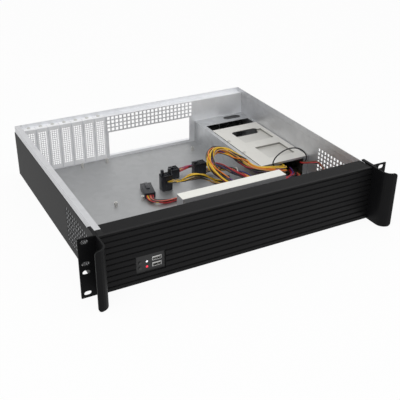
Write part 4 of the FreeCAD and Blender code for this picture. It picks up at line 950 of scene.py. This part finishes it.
class RACKCASE_OT_power_supply(bpy.types.Operator):
    """Finish the power supply's housing, cover and inner parts"""

    bl_idname = "rackcase.power_supply"
    bl_label = "Finish Power Supply"

    def execute(self, context):
        settings = context.scene.rackcase_metal
        grain = settings.grain
        wear(["psu_housing", "psu_posts"], sheet_steel(
            "housing_zinc", colour_of(settings, "housing"), (40, 4, 40), grain, 0.4, 0.8, 0.12, 0.12))
        wear(["psu_cover"], pressed_cover("cover_plate_steel", colour_of(settings, "cover"), grain, 0.004))
        nickel = plated("bright_nickel", (0.72, 0.72, 0.71), 0.2)
        wear(["psu_inlet_pins"], nickel)
        guard_rings(nickel)
        wear(["psu_fan_frame", "psu_fan_rotor"], moulded("fan_plastic", (0.016, 0.016, 0.017), 0.4))
        wear(["psu_inlet"], moulded("inlet_plastic", (0.018, 0.018, 0.018), 0.45))
        wear(["psu_board"], circuit_board("supply_board", (0.05, 0.045, 0.02)))
        wear(["psu_transformer"], moulded("transformer_tape", (0.62, 0.46, 0.06), 0.4, 0.00002))
        wear(["psu_capacitors"], moulded("capacitor_sleeve", (0.02, 0.025, 0.05), 0.25, 0.00001, 0.3))
        wear(["psu_heat_sink"], sheet_steel(
            "sink_aluminium", (0.6, 0.6, 0.61), (60, 60, 4), grain, 0.35, 0.9))
        return {"FINISHED"}


class RACKCASE_OT_controls(bpy.types.Operator):
    """Finish the control window's insert, ports, buttons and lamps"""

    bl_idname = "rackcase.controls"
    bl_label = "Finish Controls"

    def execute(self, context):
        wear(["control_insert", "button_switches"], moulded("insert_plastic", (0.006, 0.006, 0.0065), 0.5))
        wear(["power_button", "reset_button"], moulded("button_plastic", (0.02, 0.02, 0.021), 0.4))
        wear(["port_shells"], plated("port_nickel", (0.74, 0.74, 0.73), 0.22))
        wear(["port_tongues"], moulded("port_tongue_plastic", (0.55, 0.55, 0.53), 0.4))
        wear(["control_board"], circuit_board("control_board_lacquer", (0.02, 0.10, 0.04)))
        # Painted glow: the lenses' emission stands in for the bright reflection on them.
        wear(["drive_lamp"], lens("red_lens", (0.85, 0.02, 0.06), 1.0))
        wear(["power_lamp"], lens("clear_lens", (0.85, 0.85, 0.88), 0.4))
        return {"FINISHED"}


class RACKCASE_OT_slot_covers(bpy.types.Operator):
    """Replace each slot cover by a plate with round holes, an edge all round and a screwed tab"""

    bl_idname = "rackcase.slot_covers"
    bl_label = "Perforate Slot Covers"

    def execute(self, context):
        settings = context.scene.rackcase_perforation
        metal = context.scene.rackcase_metal
        finish = sheet_steel(
            "slot_cover_steel", (0.93, 0.935, 0.95), (30, 30, 4), metal.grain, 0.4, 0.15)
        for number in range(1, 8):
            self.cover(number, settings, finish)
        return {"FINISHED"}

    def cover(self, number, settings, finish):
        low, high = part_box(f"slot_cover_{number}")
        thick = settings.thickness
        flat, faces = perforated_plate(settings, low.x, high.x, low.z, high.z - thick)
        placed = (flat + (0, low.y, 0), faces)
        tab = rounded_block((low.x, low.y, high.z - thick), (high.x, high.y, high.z), thick * 0.3)
        piece = new_piece(
            f"slot_plate_{number}", *joined([placed, tab]), "case", "zinc_steel", finish, False, True
        )
        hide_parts(f"slot_cover_{number}")


class RACKCASE_OT_screws(bpy.types.Operator):
    """Replace every screw by a turned one with a domed head and a cross recess"""

    bl_idname = "rackcase.screws"
    bl_label = "Turn Screws"

    def execute(self, context):
        settings = context.scene.rackcase_fastener
        steel = plated("zinc_screws", (0.66, 0.66, 0.64))
        black = powder_coat("black_oxide", (0.014, 0.014, 0.015), 0.00001, 0.34)
        for name, counts, axis, sense in (
            ("slot_screws", (7, 1, 1), "Z", -1),
            ("bridge_screws", (2, 1, 1), "Z", -1),
            ("psu_cover_screws", (1, 2, 1), "Z", -1),
            ("psu_mount_screws", (2, 1, 2), "Y", -1),
            ("ear_screws_left", (1, 1, 2), "X", 1),
            ("ear_screws_right", (1, 1, 2), "X", -1),
        ):
            finish, slot = (steel, "screw_steel") if axis != "X" else (black, "screw_black")
            screw_set(name, counts, axis, sense, settings, finish, slot)
        return {"FINISHED"}


class RACKCASE_OT_wiring(bpy.types.Operator):
    """Lay the power supply's bundles of wires along their routes"""

    bl_idname = "rackcase.wiring"
    bl_label = "Lay Wiring"

    def execute(self, context):
        settings = context.scene.rackcase_wiring
        shape = context.scene.rackcase_connector
        finish = wire_insulation("wire_insulation")
        plastic = moulded("connector_plastic", (0.014, 0.015, 0.02), 0.34)
        for name, (thick, plug, fan, spread, colours, route) in BUNDLES.items():
            points = np.array(route) / TENTHS_PER_METRE + SUPPLY_CORNER
            line = spline_points(name, points, settings.smoothness)
            piece = wire_bundle(name, thick, spread, colours, line, fan, settings, finish)
            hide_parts(name)
            [connector(plug, *PLUGS[plug], shape, plastic)] if plug else []
        return {"FINISHED"}


class RACKCASE_OT_studio(bpy.types.Operator):
    """Set up the floor, the lamps, the even light and the camera"""

    bl_idname = "rackcase.studio"
    bl_label = "Set Up Studio"

    def execute(self, context):
        settings = context.scene.rackcase_studio
        self.floor(colour_of(settings, "floor"), settings.glow)
        self.sky(context.scene, settings.sky)
        self.lamp("key_lamp", (-0.9, -0.7, 1.9), (0.1, 0.0, 0.0), 1.6, settings.key)
        self.lamp("fill_lamp", (1.3, -1.5, 0.9), (0.0, -0.1, 0.05), 1.2, settings.fill)
        self.camera(context.scene, settings)
        context.scene.view_settings.view_transform = "Standard"
        return {"FINISHED"}

    def floor(self, colour, share):
        mesh = bpy.data.meshes.new("studio_floor")
        reach = 12.0
        corners = [(-reach, -reach, 0), (reach, -reach, 0), (reach, reach, 0), (-reach, reach, 0)]
        mesh.from_pydata(corners, [], [(0, 1, 2, 3)])
        plane = linked("studio_floor", mesh)
        finish = Finish("studio_paper", base_color=colour, roughness=0.9, specular_ior_level=0.1)
        glow = finish.node("Emission", None, {"Color": (1, 1, 1, 1), "Strength": 1.0})
        mix = finish.node("MixShader", None, {
            0: finish.seen() * share, 1: finish.shader.outputs[0], 2: glow.outputs[0]})
        output = next(n for n in finish.tree.nodes if n.type == "OUTPUT_MATERIAL")
        finish.feed(output.inputs["Surface"], mix.outputs[0])
        mesh.materials.append(finish.material)

    def sky(self, scene, strength):
        world = bpy.data.worlds.new("studio_light")
        scene.world = world
        world.use_nodes = True
        light = Nodes(world.node_tree)
        background = next(n for n in light.tree.nodes if n.type == "BACKGROUND")
        seen = light.seen()
        light.feed(background.inputs["Color"], (1, 1, 1, 1))
        light.feed(background.inputs["Strength"], seen + (1 - seen) * strength)

    def lamp(self, name, place, target, size, power):
        light = bpy.data.lights.new(name, "AREA")
        light.shape = "SQUARE"
        light.size = size
        light.energy = power
        lamp = linked(name, light)
        lamp.location = place
        lamp.rotation_euler = (Vector(target) - Vector(place)).to_track_quat("-Z", "Y").to_euler()

    def camera(self, scene, settings):
        data = bpy.data.cameras.new("front_left_camera")
        data.sensor_width = 36
        data.lens = settings.lens
        camera = linked("front_left_camera", data)
        heading, height = settings.azimuth, settings.elevation
        forward = Vector((
            math.sin(heading) * math.cos(height), math.cos(heading) * math.cos(height), -math.sin(height)))
        right = Vector((math.cos(heading), -math.sin(heading), 0))
        up = right.cross(forward)
        tilted = right * math.cos(settings.roll) + up * math.sin(settings.roll)
        upright = up * math.cos(settings.roll) - right * math.sin(settings.roll)
        turn = Matrix((tilted, upright, -forward)).transposed()
        camera.matrix_world = Matrix.Translation(settings.place) @ turn.to_4x4()
        data.clip_start = 0.01
        scene.camera = camera


class RACKCASE_PT_panel(bpy.types.Panel):
    """Lists every step of the case's finishing"""

    bl_idname = "RACKCASE_PT_panel"
    bl_label = "Rack Case"
    bl_space_type = "VIEW_3D"
    bl_region_type = "UI"
    bl_category = "Rack Case"

    def draw(self, context):
        for step in STEPS:
            self.layout.operator(step.bl_idname)
        for name in SETTINGS:
            box = self.layout.box()
            settings = getattr(context.scene, name)
            for key in settings.bl_rna.properties.keys():
                if key not in ("rna_type", "name"):
                    box.prop(settings, key)


SETTINGS = {
    "rackcase_metal": SheetMetalSettings,
    "rackcase_perforation": PerforationSettings,
    "rackcase_wiring": WiringSettings,
    "rackcase_fastener": FastenerSettings,
    "rackcase_connector": ConnectorSettings,
    "rackcase_studio": StudioSettings,
}
STEPS = (
    RACKCASE_OT_studio,
    RACKCASE_OT_wiring,
    RACKCASE_OT_sheet_metal,
    RACKCASE_OT_power_supply,
    RACKCASE_OT_controls,
    RACKCASE_OT_slot_covers,
    RACKCASE_OT_screws,
)


def register():
    for made in (*SETTINGS.values(), *STEPS, RACKCASE_PT_panel):
        bpy.utils.register_class(made)
    for name, made in SETTINGS.items():
        setattr(bpy.types.Scene, name, PointerProperty(type=made))


def unregister():
    for name in SETTINGS:
        delattr(bpy.types.Scene, name)
    for made in reversed((*SETTINGS.values(), *STEPS, RACKCASE_PT_panel)):
        bpy.utils.unregister_class(made)


def main():
    register()
    for step in STEPS:
        family, name = step.bl_idname.split(".")
        getattr(getattr(bpy.ops, family), name)()


if __name__ == "__main__":
    main()
